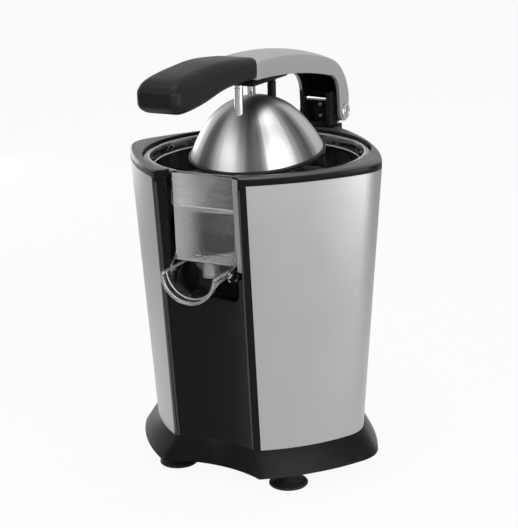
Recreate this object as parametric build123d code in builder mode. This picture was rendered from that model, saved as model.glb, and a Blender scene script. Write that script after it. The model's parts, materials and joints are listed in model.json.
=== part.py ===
"""Electric citrus juicer with a hand lever, a press dome and a motor-driven reamer.

Lengths are millimetres. While a piece is drawn, X and Y count from the spindle axis, the spout faces -Y,
and Z counts from the surface that the feet stand on. Each finished piece is then moved along Y, so that
the origin lies at the bottom centre of the whole object.
"""
import os
from dataclasses import dataclass
from math import acos, cos, pi, radians, sin, sqrt, tan

from build123d import *

os.makedirs("parts", exist_ok=True)

# Heights of the body
foot_height = 15.0
skirt_height = 17.5
steel_height = 199.0
collar_height = 6.0
skirt_top = foot_height + skirt_height
steel_top = skirt_top + steel_height
collar_top = steel_top + collar_height

# Bowl, which the top of the body goes round
bowl_radius = 80.8
opening_room = 3.2
opening_radius = bowl_radius + opening_room

# Plan of the body: a diamond with bowed sides and rounded corners, cut off at the front by a channel
skirt_front_x = 40.5
skirt_front_y = -83.0
skirt_side_x = 100.0
skirt_rear_y = 108.0
skirt_channel = 9.3
low_front_x = 32.4
low_front_y = -74.5
low_side_x = 87.5
low_rear_y = 95.0
low_channel = 7.0
top_front_x = 33.6
collar_front = 5.0
top_front_y = -(opening_radius + collar_front)
collar_side = 19.5
top_side_x = opening_radius + collar_side
collar_rear = 28.0
top_rear_y = opening_radius + collar_rear
top_channel = 8.0
side_corner_y = -8.0
front_bow = 7.0
rear_bow = opening_radius / 6
side_round = 28.0
rear_round = 26.0

# Sheet and wall thicknesses, and the gaps between pieces
steel_sheet = 0.8
panel_wall = 2.5
chassis_wall = 2.4
skirt_wall = 2.6
seat_gap = 0.3
fit_gap = 0.05
run_gap = 0.05

# Feet
foot_radius = 14.4
foot_neck_radius = 6.5
foot_lip = 2.2
front_foot_x = 47.0
front_foot_y = -50.0
rear_foot_x = 38.0
rear_foot_y = 52.0

# Base and its screws
flange_width = 12.0
flange_thick = 2.5
cover_thick = 2.5
boss_radius = 4.5
screw_radius = 1.7
screw_head_radius = 3.2
screw_head_height = 1.6
screw_length = 9.0
vent_count = 7
vent_length = 44.0
vent_width = 3.0
vent_pitch = 8.0

# Front window and its trim
trim_width = 4.0
corner_bar = 5.0
window_half = 27.0
window_drop = 86.5
window_low = steel_top - window_drop
window_round = 7.0

# Collar and the bowl's seat in it
ledge_room = 0.8
ledge_radius = bowl_radius + ledge_room
ledge_height = 2.0
collar_skirt = 8.0
collar_skirt_wall = 2.0
collar_edge = 1.4

# Deck of the chassis
deck_drop = 45.5
deck_low = steel_top - deck_drop
deck_thick = 3.0

# Niche round the outlet
niche_back = -44.0
niche_room = 6.0
niche_drop = 8.0
niche_wall = 2.0

# Juice collector
bowl_wall = 2.0
bowl_flange = 2.2
bowl_draft = 1.2
flange_gap = 0.8
bowl_step_width = 5.8
bowl_step_radius = bowl_radius - bowl_step_width
bowl_step_drop = 24.0
bowl_step_z = steel_top - bowl_step_drop
bowl_deck_room = 8.0
bowl_low_z = deck_low + bowl_deck_room
bowl_cone_rise = 9.0
tower_radius = 13.0
tower_rise = 25.0
tower_top = bowl_low_z + tower_rise
box_depth = 10.25
box_face_y = top_front_y + box_depth
box_half_top = 25.5
box_half_low = 24.5
box_drop = 23.0
box_low_z = bowl_low_z - box_drop
box_back_y = niche_back - niche_room
box_slope_start = 14.75
box_slope_y = box_face_y + box_slope_start
box_floor_rise = 12.0
outlet_depth = 7.25
outlet_y = box_face_y + outlet_depth
outlet_radius = 5.0
outlet_wall = 1.5
outlet_drop = 10.0
outlet_low_z = box_low_z - outlet_drop

# Flip spout
spout_pivot_ahead = 4.25
spout_pivot_y = box_face_y - spout_pivot_ahead
spout_pivot_drop = 5.0
spout_pivot_z = box_low_z - spout_pivot_drop
spout_pin_radius = 2.0
spout_half = 22.0
spout_wall = 1.8
spout_rim_rise = 3.6
spout_top_z = spout_pivot_z + spout_rim_rise
spout_reach = 22.0
spout_front_y = spout_pivot_y - spout_reach
spout_behind = 20.0
spout_rear_y = spout_pivot_y + spout_behind
spout_depth = 21.6
spout_rear_depth = 14.0
ear_radius = 5.5
ear_gap = 0.5

# Strainer
strainer_thick = 0.8
strainer_hole = 14.5
strainer_lap = 1.5
strainer_rim = bowl_step_radius + strainer_lap
strainer_flat = 5.0
strainer_drop = 2.5
strainer_wall = 2.2
strainer_ring_room = 19.5
strainer_rings = ((24.0, 14, 10.0), (40.0, 24, 13.0), (strainer_rim - strainer_ring_room, 36, 13.0))
slot_width = 1.8

# Reamer
reamer_rise = 20.0
reamer_base_z = bowl_low_z + reamer_rise
reamer_radius = 35.0
reamer_rim = 3.0
reamer_height = 50.0
reamer_mid_radius = 20.5
reamer_mid_height = 31.0
reamer_wall = 2.6
reamer_rib = 2.4
reamer_hub_rise = 8.0
reamer_hub_z = reamer_base_z + reamer_hub_rise
reamer_cavity_rise = 32.0
reamer_cavity_z = reamer_base_z + reamer_cavity_rise
reamer_fins = 5
reamer_fin_thick = 3.0
reamer_hub_radius = 8.0

# Spindle and its press travel
press_travel = 2.5
spindle_radius = 4.5
spindle_low_radius = 3.5
spindle_rise = 24.0
spindle_top_z = reamer_base_z + spindle_rise
spindle_drop = 39.0
spindle_low_z = deck_low - spindle_drop
hex_low_drop = 28.0
hex_low_z = deck_low - hex_low_drop
hex_top_drop = 12.0
hex_top_z = deck_low - hex_top_drop
hex_flats = 7.4
hex_gap = 0.1
nose_radius = 10.3
nose_drop = 5.0
nose_top = tower_top - nose_drop
bush_wall = 2.0
bush_height = 9.0
low_bush_height = 4.5

# Gear train
gear_module = 1.0
pressure_angle = radians(25)
addendum = 0.8
dedendum = 1.1
backlash = 0.14
output_teeth = 56
idler_pinion_teeth = 14
idler_gear_teeth = 50
motor_pinion_teeth = 12
idler_direction = radians(30)
motor_direction = radians(135)
output_gear_drop = 25.0
output_gear_z = deck_low - output_gear_drop
output_gear_width = 10.0
output_boss_radius = 8.0
idler_gear_width = 6.0
idler_boss_radius = 5.0
gear_side_gap = 1.5

# Gearbox and motor
gearbox_drop = 36.0
gearbox_low = deck_low - gearbox_drop
gearbox_wall = 2.5
gearbox_top = deck_low - 3.0
gear_room = 3.0
lug_radius = 4.5
lug_reach = 1.5
lug_screw_length = 12.0
idler_pin_radius = 2.5
pin_seat = 2.0
motor_radius = 30.0
motor_wall = 2.5
motor_length = 88.0
motor_shaft_radius = 2.5
rotor_gap = 1.5
rotor_end_room = 16.0
motor_screw_spread = 11.0
motor_screw_length = 4.0

# Switch and return spring under the spindle
bracket_drop = 68.0
bracket_low = deck_low - bracket_drop
bracket_thick = 3.0
bracket_half = 22.0
bracket_depth = 12.0
cup_radius = 8.0
cup_thick = 4.0
cup_tab_half = 3.0
guide_radius = 3.2
guide_height = 11.0
bracket_leg = 2.5
spring_radius = 5.5
spring_wire = 0.6
spring_turns = 4
switch_x = 13.0
switch_width = 9.0
switch_depth = 10.0
switch_height = 15.0
button_radius = 1.5
button_seat = 2.5
button_bore = 6.0

# Hinge of the lever
hinge_reach = 3.5
hinge_y = top_rear_y + hinge_reach
hinge_rise = 9.0
hinge_z = collar_top + hinge_rise
hinge_pin_radius = 4.0
cheek_radius = 7.5
cap_radius = 6.3
cap_thick = 2.0

# Post
post_half = 13.0
post_depth = 14.0
post_front_y = top_rear_y - post_depth
post_rise = 26.5
post_top_z = collar_top + post_rise
post_flat = 10.0
post_rear_radius = 8.0
recess_half = 9.5
recess_depth = 12.0
post_foot_half = 17.5
post_foot_depth = 21.0
post_foot_front = top_rear_y - post_foot_depth
post_foot_reach = 2.5
post_foot_rear = top_rear_y + post_foot_reach
post_foot_round = 5.0
recess_rise = 2.5
recess_low_z = collar_top + recess_rise
cover_plate_thick = 1.6
cover_plate_height = 15.0
cover_screw_radius = 1.2
cover_screw_head = 2.4
cover_screw_head_height = 1.2
cover_screw_length = 1.5
bar_radius = 2.6
bar_seat = 2.0
bar_depth = 9.0
bar_y = top_rear_y - bar_depth
bar_rise = 20.5
bar_z = collar_top + bar_rise
cover_screw_rises = (6.0, 15.0)
cover_screw_spots = [(0, collar_top + rise) for rise in cover_screw_rises]

# Lever arm: an arch of U section, open below
arm_half = 17.85
arm_wall = 3.1
arm_crown = 3.6
joint_y = -29.5
joint_top_rise = 69.0
joint_top_z = collar_top + joint_top_rise
joint_low_rise = 56.5
joint_low_z = collar_top + joint_low_rise
arch_mid_y = 32.0
arch_mid_rise = 66.1
arch_mid_z = collar_top + arch_mid_rise
arch_end_ahead = 22.5
arch_end_y = hinge_y - arch_end_ahead
arch_end_rise = 53.5
arch_end_z = collar_top + arch_end_rise
arch_rear_behind = 7.5
arch_rear_y = hinge_y + arch_rear_behind
arch_rear_rise = 22.5
arch_rear_z = collar_top + arch_rear_rise
arm_solid_end = 9.0
web_end_rise = 20.5
web_end_z = collar_top + web_end_rise
leg_front_ahead = 9.0
leg_front_y = hinge_y - leg_front_ahead
leg_front_rise = 24.5
leg_front_z = collar_top + leg_front_rise
bend_ahead = 13.0
bend_y = hinge_y - bend_ahead
bend_rise = 35.0
bend_z = collar_top + bend_rise
under_end_ahead = 25.5
under_end_y = hinge_y - under_end_ahead
under_end_rise = 41.7
under_end_z = collar_top + under_end_rise
under_mid_y = 39.0
under_mid_rise = 51.1
under_mid_z = collar_top + under_mid_rise

# Grip: sections from the arm to the tip, each with its Y, lowest and highest Z and half width
grip_tip_y = -139.0
grip_joint_rise = 72.3
grip_joint_z = collar_top + grip_joint_rise
grip_round = 0.42
grip_sections = (
    (joint_y, joint_low_z, grip_joint_z, arm_half),
    (-66.0, collar_top + 55.9, collar_top + 75.5, arm_half),
    (-100.0, collar_top + 49.9, collar_top + 74.5, arm_half),
    (-124.0, collar_top + 47.7, collar_top + 72.1, 17.2),
    (-134.5, collar_top + 50.5, collar_top + 68.5, 14.2),
    (grip_tip_y, collar_top + 55.5, collar_top + 63.5, 9.5),
)

# Press dome and its three rods
dome_radius = 48.8
dome_height = 40.5
dome_crown_radius = 44.0
dome_crown_angle = 48.0
dome_sheet = 1.0
dome_y = 0.4
dome_drop = 0.3
dome_z = collar_top - dome_drop
dome_tilt = 8.0
lip_radius = 50.7
lip_height = 3.0
lip_round = 1.0
rod_radius = 3.2
front_rod_y = -25.0
rear_rod_x = 8.5
rear_rod_y = 9.5
rod_plate_thick = 3.5
rod_plate_rise = 51.5
rod_plate_low = collar_top + rod_plate_rise
rod_plate_front = -29.0
rod_plate_rear = 24.0
rod_boss_half = 6.0
rod_boss_length = 20.0

# Inlet for the mains lead
gland_z = 24.0
gland_radius = 5.6
gland_bore = 3.5
gland_length = 14.0


def arm_top() -> tuple:
    """Draw the arm's top edge from the grip to the rear."""
    joint = (joint_y, joint_top_z)
    arch = ThreePointArc(joint, (arch_mid_y, arch_mid_z), (arch_end_y, arch_end_z))
    heel = TangentArc(arch @ 1, (arch_rear_y, arch_rear_z), tangent=arch % 1)
    return arch, heel


def beside(edge: Edge, share: float, depth: float) -> Vector:
    """Point beside a flat edge, to the right of its run."""
    along = edge % share
    return edge @ share + Vector(along.Y, -along.X) * depth


# The frame's origin lies midway between the grip's tip and the arm's back
with BuildLine():
    rear_y = beside(arm_top()[1], 1, -arm_crown).X
axis_y = -(grip_tip_y + rear_y) / 2


def save(piece: Part, name: str) -> None:
    """Move a finished piece into the object's frame, label it and write its file."""
    placed = piece.moved(Location((0, axis_y, 0)))
    placed.label = name
    export_step(placed, f"parts/{name}.step")


@dataclass
class Plan:
    """Sharp corners of the body at one height, and the depth of its front channel."""

    front_x: float
    front_y: float
    side_x: float
    rear_y: float
    channel: float

    def channel_radius(self) -> float:
        """Radius of the arc that hollows the front."""
        return (self.front_x**2 + self.channel**2) / (2 * self.channel)

    def channel_apex(self) -> float:
        """Deepest point of the hollow front."""
        return self.front_y + self.channel


skirt_plan = Plan(skirt_front_x, skirt_front_y, skirt_side_x, skirt_rear_y, skirt_channel)
low_plan = Plan(low_front_x, low_front_y, low_side_x, low_rear_y, low_channel)
top_plan = Plan(top_front_x, top_front_y, top_side_x, top_rear_y, top_channel)


def between(low: Plan, high: Plan, share: float) -> Plan:
    """Plan at a share of the way from one plan to another."""
    mix = lambda a, b: a + (b - a) * share
    return Plan(
        mix(low.front_x, high.front_x),
        mix(low.front_y, high.front_y),
        mix(low.side_x, high.side_x),
        mix(low.rear_y, high.rear_y),
        mix(low.channel, high.channel),
    )


def plan_at(z: float) -> Plan:
    """Plan of the body's outside at a height."""
    if z < skirt_top:
        return between(skirt_plan, low_plan, (z - foot_height) / skirt_height)
    return between(low_plan, top_plan, min((z - skirt_top) / steel_height, 1.0))


def bulge(start: tuple, end: tuple, bow: float) -> Vector:
    """Middle point of an arc that bows to the right of a run."""
    run = Vector(*end) - Vector(*start)
    return (Vector(*start) + Vector(*end)) / 2 + Vector(run.Y, -run.X).normalized() * bow


def bow_circle(start: tuple, end: tuple, bow: float) -> tuple:
    """Centre and radius of an arc that bows to the right of a run."""
    run = Vector(*end) - Vector(*start)
    radius = (run.length**2 / 4 + bow**2) / (2 * bow)
    return bulge(start, end, bow - radius), radius


def arc_middle(centre: Vector, radius: float, start: tuple, end: tuple) -> Vector:
    """Middle point of an arc between two of its points."""
    return centre + ((Vector(*start) + Vector(*end)) / 2 - centre).normalized() * radius


def circles_meet(first: Vector, first_radius: float, second: Vector, second_radius: float) -> tuple:
    """Crossing of two circles that lies to the left of the line between their centres."""
    run = second - first
    along = (first_radius**2 - second_radius**2 + run.length**2) / (2 * run.length)
    across = sqrt(first_radius**2 - along**2)
    away = run.normalized()
    spot = first + away * along + Vector(-away.Y, away.X) * across
    return spot.X, spot.Y


def plan_sketch(plan: Plan, inset: float = 0.0) -> Sketch:
    """Outline of the body at one height with a straight front, drawn in by a wall."""
    sharp_front = (plan.front_x, plan.front_y)
    sharp_side = (plan.side_x, side_corner_y)
    fore, fore_radius = bow_circle(sharp_front, sharp_side, front_bow)
    aft, aft_radius = bow_circle(sharp_side, (0, plan.rear_y), rear_bow)
    fore_radius -= inset
    aft_radius -= inset
    front_y = plan.front_y + inset
    front = (fore.X + sqrt(fore_radius**2 - (front_y - fore.Y) ** 2), front_y)
    rear = (0, aft.Y + sqrt(aft_radius**2 - aft.X**2))
    side = circles_meet(fore, fore_radius, aft, aft_radius)
    with BuildSketch() as outline:
        with BuildLine():
            ThreePointArc(front, arc_middle(fore, fore_radius, front, side), side)
            ThreePointArc(side, arc_middle(aft, aft_radius, side, rear), rear)
            mirror(about=Plane.YZ)
            Line((-front[0], front_y), front)
        make_face()
        across = outline.vertices().sort_by(Axis.X)
        fillet([across[0], across[-1]], side_round - inset)
        fillet(outline.vertices().sort_by(Axis.Y)[-1], rear_round - inset)
    return outline.sketch


def body_block(low: float, high: float, inset: float = 0.0) -> Part:
    """Solid of the body's outside between two heights."""
    with BuildPart() as block:
        for z in (low, high):
            with BuildSketch(Plane.XY.offset(z)):
                add(plan_sketch(plan_at(z), inset))
        loft()
    return block.part


def channel_block(low: float, high: float, grow: float = 0.0) -> Part:
    """Solid that hollows the front between two heights."""
    with BuildPart() as block:
        for z in (low, high):
            plan = plan_at(z)
            radius = plan.channel_radius()
            with BuildSketch(Plane.XY.offset(z)):
                with Locations((0, plan.channel_apex() - radius)):
                    Circle(radius + grow)
        loft()
    return block.part


def channelled_block(low: float, high: float, inset: float = 0.0) -> Part:
    """Solid of the body with its hollow front, drawn in by a wall."""
    with BuildPart() as block:
        add(body_block(low, high, inset))
        add(channel_block(low, high, inset), mode=Mode.SUBTRACT)
    return block.part


def front_block(low: float, high: float, wider: float, behind: float) -> Part:
    """Solid in front of the body, wider than its front by so much, to that far behind the channel."""
    reach = 4 * top_side_x
    with BuildPart() as block:
        for z in (low, high):
            plan = plan_at(z)
            back = plan.channel_apex() + behind
            with BuildSketch(Plane.XY.offset(z)):
                with Locations((0, back - reach / 2)):
                    Rectangle(2 * (plan.front_x + wider), reach)
        loft()
    return block.part


def window_block() -> Part:
    """Solid that opens the front window, up through the collar."""
    height = 2 * (collar_top - window_low)
    with BuildPart() as block:
        with BuildSketch(Plane.XZ):
            with Locations((0, window_low + height / 2)):
                RectangleRounded(2 * window_half, height, window_round)
        extrude(amount=2 * top_side_x)
    return block.part


def pillars(spots: list, radius: float, low: float, high: float) -> Part:
    """Upright cylinders at some spots."""
    with BuildPart() as columns:
        with BuildSketch(Plane.XY.offset(low)):
            with Locations(*spots):
                Circle(radius)
        extrude(amount=high - low)
    return columns.part


def cross_pin(y: float, z: float, radius: float, near: float, far: float) -> Part:
    """Cylinder along X from one X to another."""
    with BuildPart() as pin:
        with BuildSketch(Plane.YZ.offset(near)):
            with Locations((y, z)):
                Circle(radius)
        extrude(amount=far - near)
    return pin.part


def brick(x: tuple, y: tuple, z: tuple) -> Part:
    """Block between two limits on each axis."""
    with BuildPart() as block:
        with BuildSketch(Plane.XY.offset(z[0])):
            with Locations(((x[0] + x[1]) / 2, (y[0] + y[1]) / 2)):
                Rectangle(x[1] - x[0], y[1] - y[0])
        extrude(amount=z[1] - z[0])
    return block.part


def screws(spots: list, head_low: float, head_high: float, tip: float) -> Part:
    """Pan-head screws, one solid each, from the head to a tip above or below it."""
    near = head_high if tip > head_high else head_low
    with BuildPart() as group:
        add(pillars(spots, screw_head_radius, head_low, head_high))
        add(pillars(spots, screw_radius, min(near, tip), max(near, tip)))
    return group.part


# Base: a flared skirt with an inner flange and screw bosses, closed below by a cover
cover_top = foot_height + cover_thick
flange_low = skirt_top - flange_thick
head_room = screw_head_radius + 2 * fit_gap
shank_room = screw_radius + fit_gap
low_front = (low_front_x, low_front_y)
low_side = (low_side_x, side_corner_y)
front_boss = bulge(low_front, low_side, front_bow - flange_width / 2)
rear_boss = bulge(low_side, (0, low_rear_y), rear_bow - flange_width / 2)
boss_spots = [(side * boss.X, boss.Y) for boss in (front_boss, rear_boss) for side in (-1, 1)]

with BuildPart() as base_skirt:
    add(channelled_block(foot_height, skirt_top))
    add(channelled_block(foot_height, flange_low, skirt_wall), mode=Mode.SUBTRACT)
    add(channelled_block(flange_low, skirt_top, flange_width), mode=Mode.SUBTRACT)
    add(pillars(boss_spots, boss_radius, cover_top, flange_low))
    add(pillars(boss_spots, shank_room, cover_top, flange_low), mode=Mode.SUBTRACT)
    with BuildSketch(Plane.XZ.offset(-rear_foot_y)):
        with Locations((0, gland_z)):
            Circle(gland_radius)
    extrude(amount=-skirt_rear_y, mode=Mode.SUBTRACT)
save(base_skirt.part, "base_skirt")

with BuildPart() as bottom_cover:
    add(channelled_block(foot_height, cover_top, skirt_wall + seat_gap))
    add(pillars(boss_spots, shank_room, foot_height, cover_top), mode=Mode.SUBTRACT)
    add(pillars(boss_spots, head_room, foot_height, foot_height + screw_head_height), mode=Mode.SUBTRACT)
    with BuildSketch(Plane.XY.offset(foot_height)):
        with GridLocations(0, vent_pitch, 1, vent_count):
            SlotOverall(vent_length, vent_width)
    extrude(amount=cover_thick, mode=Mode.SUBTRACT)
save(bottom_cover.part, "bottom_cover")

bottom_screw_tip = foot_height + screw_head_height + screw_length
bottom_screws = screws(boss_spots, foot_height, foot_height + screw_head_height, bottom_screw_tip)
save(bottom_screws, "bottom_screws")

foot_spots = {
    "front_left": (-front_foot_x, front_foot_y),
    "front_right": (front_foot_x, front_foot_y),
    "rear_left": (-rear_foot_x, rear_foot_y),
    "rear_right": (rear_foot_x, rear_foot_y),
}
for place, spot in foot_spots.items():
    with BuildPart() as foot:
        with BuildSketch(Plane.XZ):
            with BuildLine():
                Polyline((0, foot_height), (0, 0), (foot_radius, 0), (foot_radius, foot_lip))
                RadiusArc((foot_radius, foot_lip), (foot_neck_radius, foot_height / 2), foot_radius)
                Polyline((foot_neck_radius, foot_height / 2), (foot_neck_radius, foot_height), (0, foot_height))
            make_face()
        revolve(axis=Axis.Z)
    save(foot.part.moved(Location((*spot, 0))), f"foot_{place}")

with BuildPart() as cord_gland:
    with BuildSketch(Plane.XZ.offset(-skirt_rear_y + gland_length)):
        with Locations((0, gland_z)):
            Circle(gland_radius)
            Circle(gland_bore, mode=Mode.SUBTRACT)
    extrude(amount=-gland_length)
save(cord_gland.part, "cord_gland")

# Body: inner chassis with its deck and niche, steel wrap, front panel and collar
chassis_inset = steel_sheet + seat_gap
chassis_top = steel_top - collar_skirt
deck_top = deck_low + deck_thick
niche_half = window_half + 1.0
niche_low = window_low - niche_drop


def chassis_block(low: float, high: float, inset: float = 0.0) -> Part:
    """Solid of the chassis between two heights, with its flat front behind the front panel."""
    with BuildPart() as block:
        add(body_block(low, high, chassis_inset + inset))
        front_gap = panel_wall + seat_gap + inset
        add(front_block(low, high, top_side_x, front_gap), mode=Mode.SUBTRACT)
    return block.part


def niche_walls() -> Part:
    """Block that walls in the niche, cut off at the chassis front."""
    with BuildPart() as block:
        add(brick(
            (-niche_half - niche_wall, niche_half + niche_wall),
            (2 * top_front_y, niche_back + niche_wall),
            (niche_low - niche_wall, deck_top),
        ))
        add(chassis_block(skirt_top, chassis_top), mode=Mode.INTERSECT)
    return block.part


with BuildPart() as inner_chassis:
    add(chassis_block(skirt_top, chassis_top))
    add(chassis_block(skirt_top, deck_low, chassis_wall), mode=Mode.SUBTRACT)
    add(chassis_block(deck_top, chassis_top, chassis_wall), mode=Mode.SUBTRACT)
    add(niche_walls())
    add(
        brick((-niche_half, niche_half), (2 * top_front_y, niche_back), (niche_low, collar_top)),
        mode=Mode.SUBTRACT,
    )
    add(pillars([(0, 0)], nose_radius + seat_gap, deck_low, deck_top), mode=Mode.SUBTRACT)
    add(pillars([(0, 0)], bowl_radius + 2 * seat_gap, deck_top, chassis_top), mode=Mode.SUBTRACT)
save(inner_chassis.part, "inner_chassis")

with BuildPart() as steel_wrap:
    add(body_block(skirt_top, steel_top))
    add(body_block(skirt_top, steel_top, steel_sheet), mode=Mode.SUBTRACT)
    add(front_block(skirt_top, steel_top, trim_width, panel_wall), mode=Mode.SUBTRACT)
save(steel_wrap.part, "steel_wrap")


def panel_room() -> Part:
    """Space behind the front panel's sheet, between its corner bars."""
    with BuildPart() as room:
        add(front_block(skirt_top, steel_top, trim_width - corner_bar, 2 * panel_wall))
        add(channel_block(skirt_top, steel_top, panel_wall), mode=Mode.SUBTRACT)
    return room.part


with BuildPart() as front_panel:
    add(body_block(skirt_top, steel_top))
    add(front_block(skirt_top, steel_top, trim_width, panel_wall), mode=Mode.INTERSECT)
    add(channel_block(skirt_top, steel_top), mode=Mode.SUBTRACT)
    add(panel_room(), mode=Mode.SUBTRACT)
    add(window_block(), mode=Mode.SUBTRACT)
save(front_panel.part, "front_panel")

post_notch = brick(
    (-post_foot_half - seat_gap, post_foot_half + seat_gap),
    (post_foot_front - seat_gap, 2 * top_rear_y),
    (chassis_top, collar_top + collar_height),
)
with BuildPart() as top_collar:
    with BuildSketch(Plane.XY.offset(steel_top)):
        add(plan_sketch(top_plan))
    extrude(amount=collar_height)
    chamfer(top_collar.faces().sort_by(Axis.Z)[-1].edges(), collar_edge)
    add(channel_block(steel_top, collar_top), mode=Mode.SUBTRACT)
    add(chassis_block(chassis_top, steel_top))
    add(chassis_block(chassis_top, steel_top, collar_skirt_wall), mode=Mode.SUBTRACT)
    add(pillars([(0, 0)], ledge_radius, chassis_top, collar_top), mode=Mode.SUBTRACT)
    add(pillars([(0, 0)], opening_radius, steel_top + ledge_height, collar_top), mode=Mode.SUBTRACT)
    add(window_block(), mode=Mode.SUBTRACT)
    add(post_notch, mode=Mode.SUBTRACT)
save(top_collar.part, "top_collar")

# Juice collector: a clear bowl with a tower round the spindle and a chamber behind the window
bowl_rest = steel_top + ledge_height
bowl_top = bowl_rest + bowl_flange
bowl_floor_z = bowl_low_z + bowl_cone_rise
step_outer = bowl_radius - bowl_draft
flange_radius = opening_radius - flange_gap


def turned(points: list) -> Part:
    """Solid turned round the spindle axis from a closed profile of radius and height."""
    with BuildPart() as solid:
        with BuildSketch(Plane.XZ):
            with BuildLine():
                Polyline(*points, close=True)
            make_face()
        revolve(axis=Axis.Z)
    return solid.part


def chamber(inset: float) -> Part:
    """Solid of the collector's chamber, with its floor sloped down to the outlet."""
    low = box_low_z + inset
    with BuildPart() as block:
        for z, half in ((low, box_half_low), (bowl_top + inset, box_half_top)):
            with BuildSketch(Plane.XY.offset(z)):
                with Locations((0, (box_face_y + box_back_y) / 2)):
                    Rectangle(2 * (half - inset), box_back_y - box_face_y - 2 * inset)
        loft()
        with BuildSketch(Plane.YZ):
            with BuildLine():
                Polyline((box_slope_y, low), (box_back_y, low), (box_back_y, low + box_floor_rise), close=True)
            make_face()
        extrude(amount=2 * box_half_top, both=True, mode=Mode.SUBTRACT)
    return block.part


def ahead_of(y: float) -> Part:
    """Block that takes away all of the collector ahead of a Y."""
    return brick((-2 * bowl_radius, 2 * bowl_radius), (-2 * bowl_radius, y), (outlet_low_z, 2 * bowl_top))


def bowl_room() -> Part:
    """Inside of the bowl and of its chamber."""
    with BuildPart() as room:
        add(turned([
            (0, bowl_floor_z + bowl_wall),
            (bowl_step_radius - bowl_wall, bowl_low_z + bowl_wall),
            (bowl_step_radius - bowl_wall, bowl_step_z),
            (step_outer - bowl_wall, bowl_step_z),
            (bowl_radius - bowl_wall, bowl_top),
            (0, bowl_top),
        ]))
        add(chamber(bowl_wall))
        add(ahead_of(box_face_y + bowl_wall), mode=Mode.SUBTRACT)
    return room.part


with BuildPart() as juice_collector:
    add(turned([
        (0, bowl_floor_z),
        (bowl_step_radius, bowl_low_z),
        (bowl_step_radius, bowl_step_z - bowl_wall),
        (step_outer, bowl_step_z - bowl_wall),
        (bowl_radius, bowl_rest),
        (flange_radius, bowl_rest),
        (flange_radius, bowl_top),
        (0, bowl_top),
    ]))
    add(chamber(0))
    add(ahead_of(box_face_y), mode=Mode.SUBTRACT)
    add(bowl_room(), mode=Mode.SUBTRACT)
    add(pillars([(0, 0)], tower_radius, bowl_floor_z - bowl_wall / 2, tower_top))
    add(pillars([(0, 0)], tower_radius - bowl_wall, bowl_low_z, tower_top), mode=Mode.SUBTRACT)
    add(pillars([(0, outlet_y)], outlet_radius, outlet_low_z, box_low_z))
    outlet_bore = outlet_radius - outlet_wall
    add(pillars([(0, outlet_y)], outlet_bore, outlet_low_z, box_low_z + bowl_wall), mode=Mode.SUBTRACT)
    with BuildSketch(Plane.YZ.offset(spout_half + ear_gap)):
        with Locations((spout_pivot_y, spout_pivot_z), (box_face_y + ear_radius, box_low_z + ear_radius)):
            Circle(ear_radius)
        make_hull()
        with Locations((spout_pivot_y, spout_pivot_z)):
            Circle(spout_pin_radius + run_gap, mode=Mode.SUBTRACT)
    ear = extrude(amount=box_half_low - spout_half - ear_gap)
    mirror(ear, about=Plane.YZ)
save(juice_collector.part, "juice_collector")


# Flip spout: an open trough with a closed rear, on two pins
def trough(inset: float, rear: float) -> Part:
    """Solid of the trough, drawn in by a wall, from its open front to a rear plane."""
    half = spout_half - inset
    with BuildPart() as block:
        for y, depth in ((spout_front_y, spout_depth), (rear, spout_rear_depth)):
            with BuildSketch(Plane.XZ.offset(-y)):
                with BuildLine():
                    bottom = (0, spout_top_z - depth + inset)
                    ThreePointArc((-half, spout_top_z), bottom, (half, spout_top_z))
                    Line((half, spout_top_z), (-half, spout_top_z))
                make_face()
        loft()
    return block.part


with BuildPart() as drip_spout:
    add(trough(0, spout_rear_y))
    for side in (-1, 1):
        pin_end = side * (box_half_low - 4 * run_gap)
        add(cross_pin(spout_pivot_y, spout_pivot_z, spout_pin_radius, side * (spout_half - spout_wall), pin_end))
    add(trough(spout_wall, spout_rear_y - spout_wall), mode=Mode.SUBTRACT)
save(drip_spout.part, "drip_spout")

# Strainer on the step of the bowl
with BuildPart() as strainer:
    low = bowl_step_z - strainer_drop
    upper = bowl_step_z + strainer_thick
    add(turned([
        (strainer_hole, low),
        (strainer_rim - strainer_flat, bowl_step_z),
        (strainer_rim, bowl_step_z),
        (strainer_rim, bowl_step_z + strainer_wall),
        (strainer_rim - strainer_thick, bowl_step_z + strainer_wall),
        (strainer_rim - strainer_thick, upper),
        (strainer_rim - strainer_flat, upper),
        (strainer_hole, low + strainer_thick),
    ]))
    with BuildSketch(Plane.XY.offset(low)):
        for ring_radius, count, length in strainer_rings:
            with PolarLocations(ring_radius, count):
                Rectangle(length, slot_width)
    extrude(amount=upper - low, mode=Mode.SUBTRACT)
save(strainer.part, "strainer")


# Reamer: a hollow ribbed cone on the spindle
def reamer_side(rib: float) -> None:
    """Draw half of the reamer's profile, raised by a rib, from the axis to the tip."""
    rim = (reamer_radius, reamer_base_z + reamer_rim)
    middle = (reamer_mid_radius + rib, reamer_base_z + reamer_mid_height + rib / 2)
    Polyline((0, reamer_base_z), (reamer_radius, reamer_base_z), rim)
    ThreePointArc(rim, middle, (0, reamer_base_z + reamer_height + rib))


with BuildPart() as reamer_fin:
    with BuildSketch(Plane.XZ):
        with BuildLine():
            reamer_side(reamer_rib)
            mirror(about=Plane.YZ)
        make_face()
    extrude(amount=reamer_fin_thick / 2, both=True)

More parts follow.
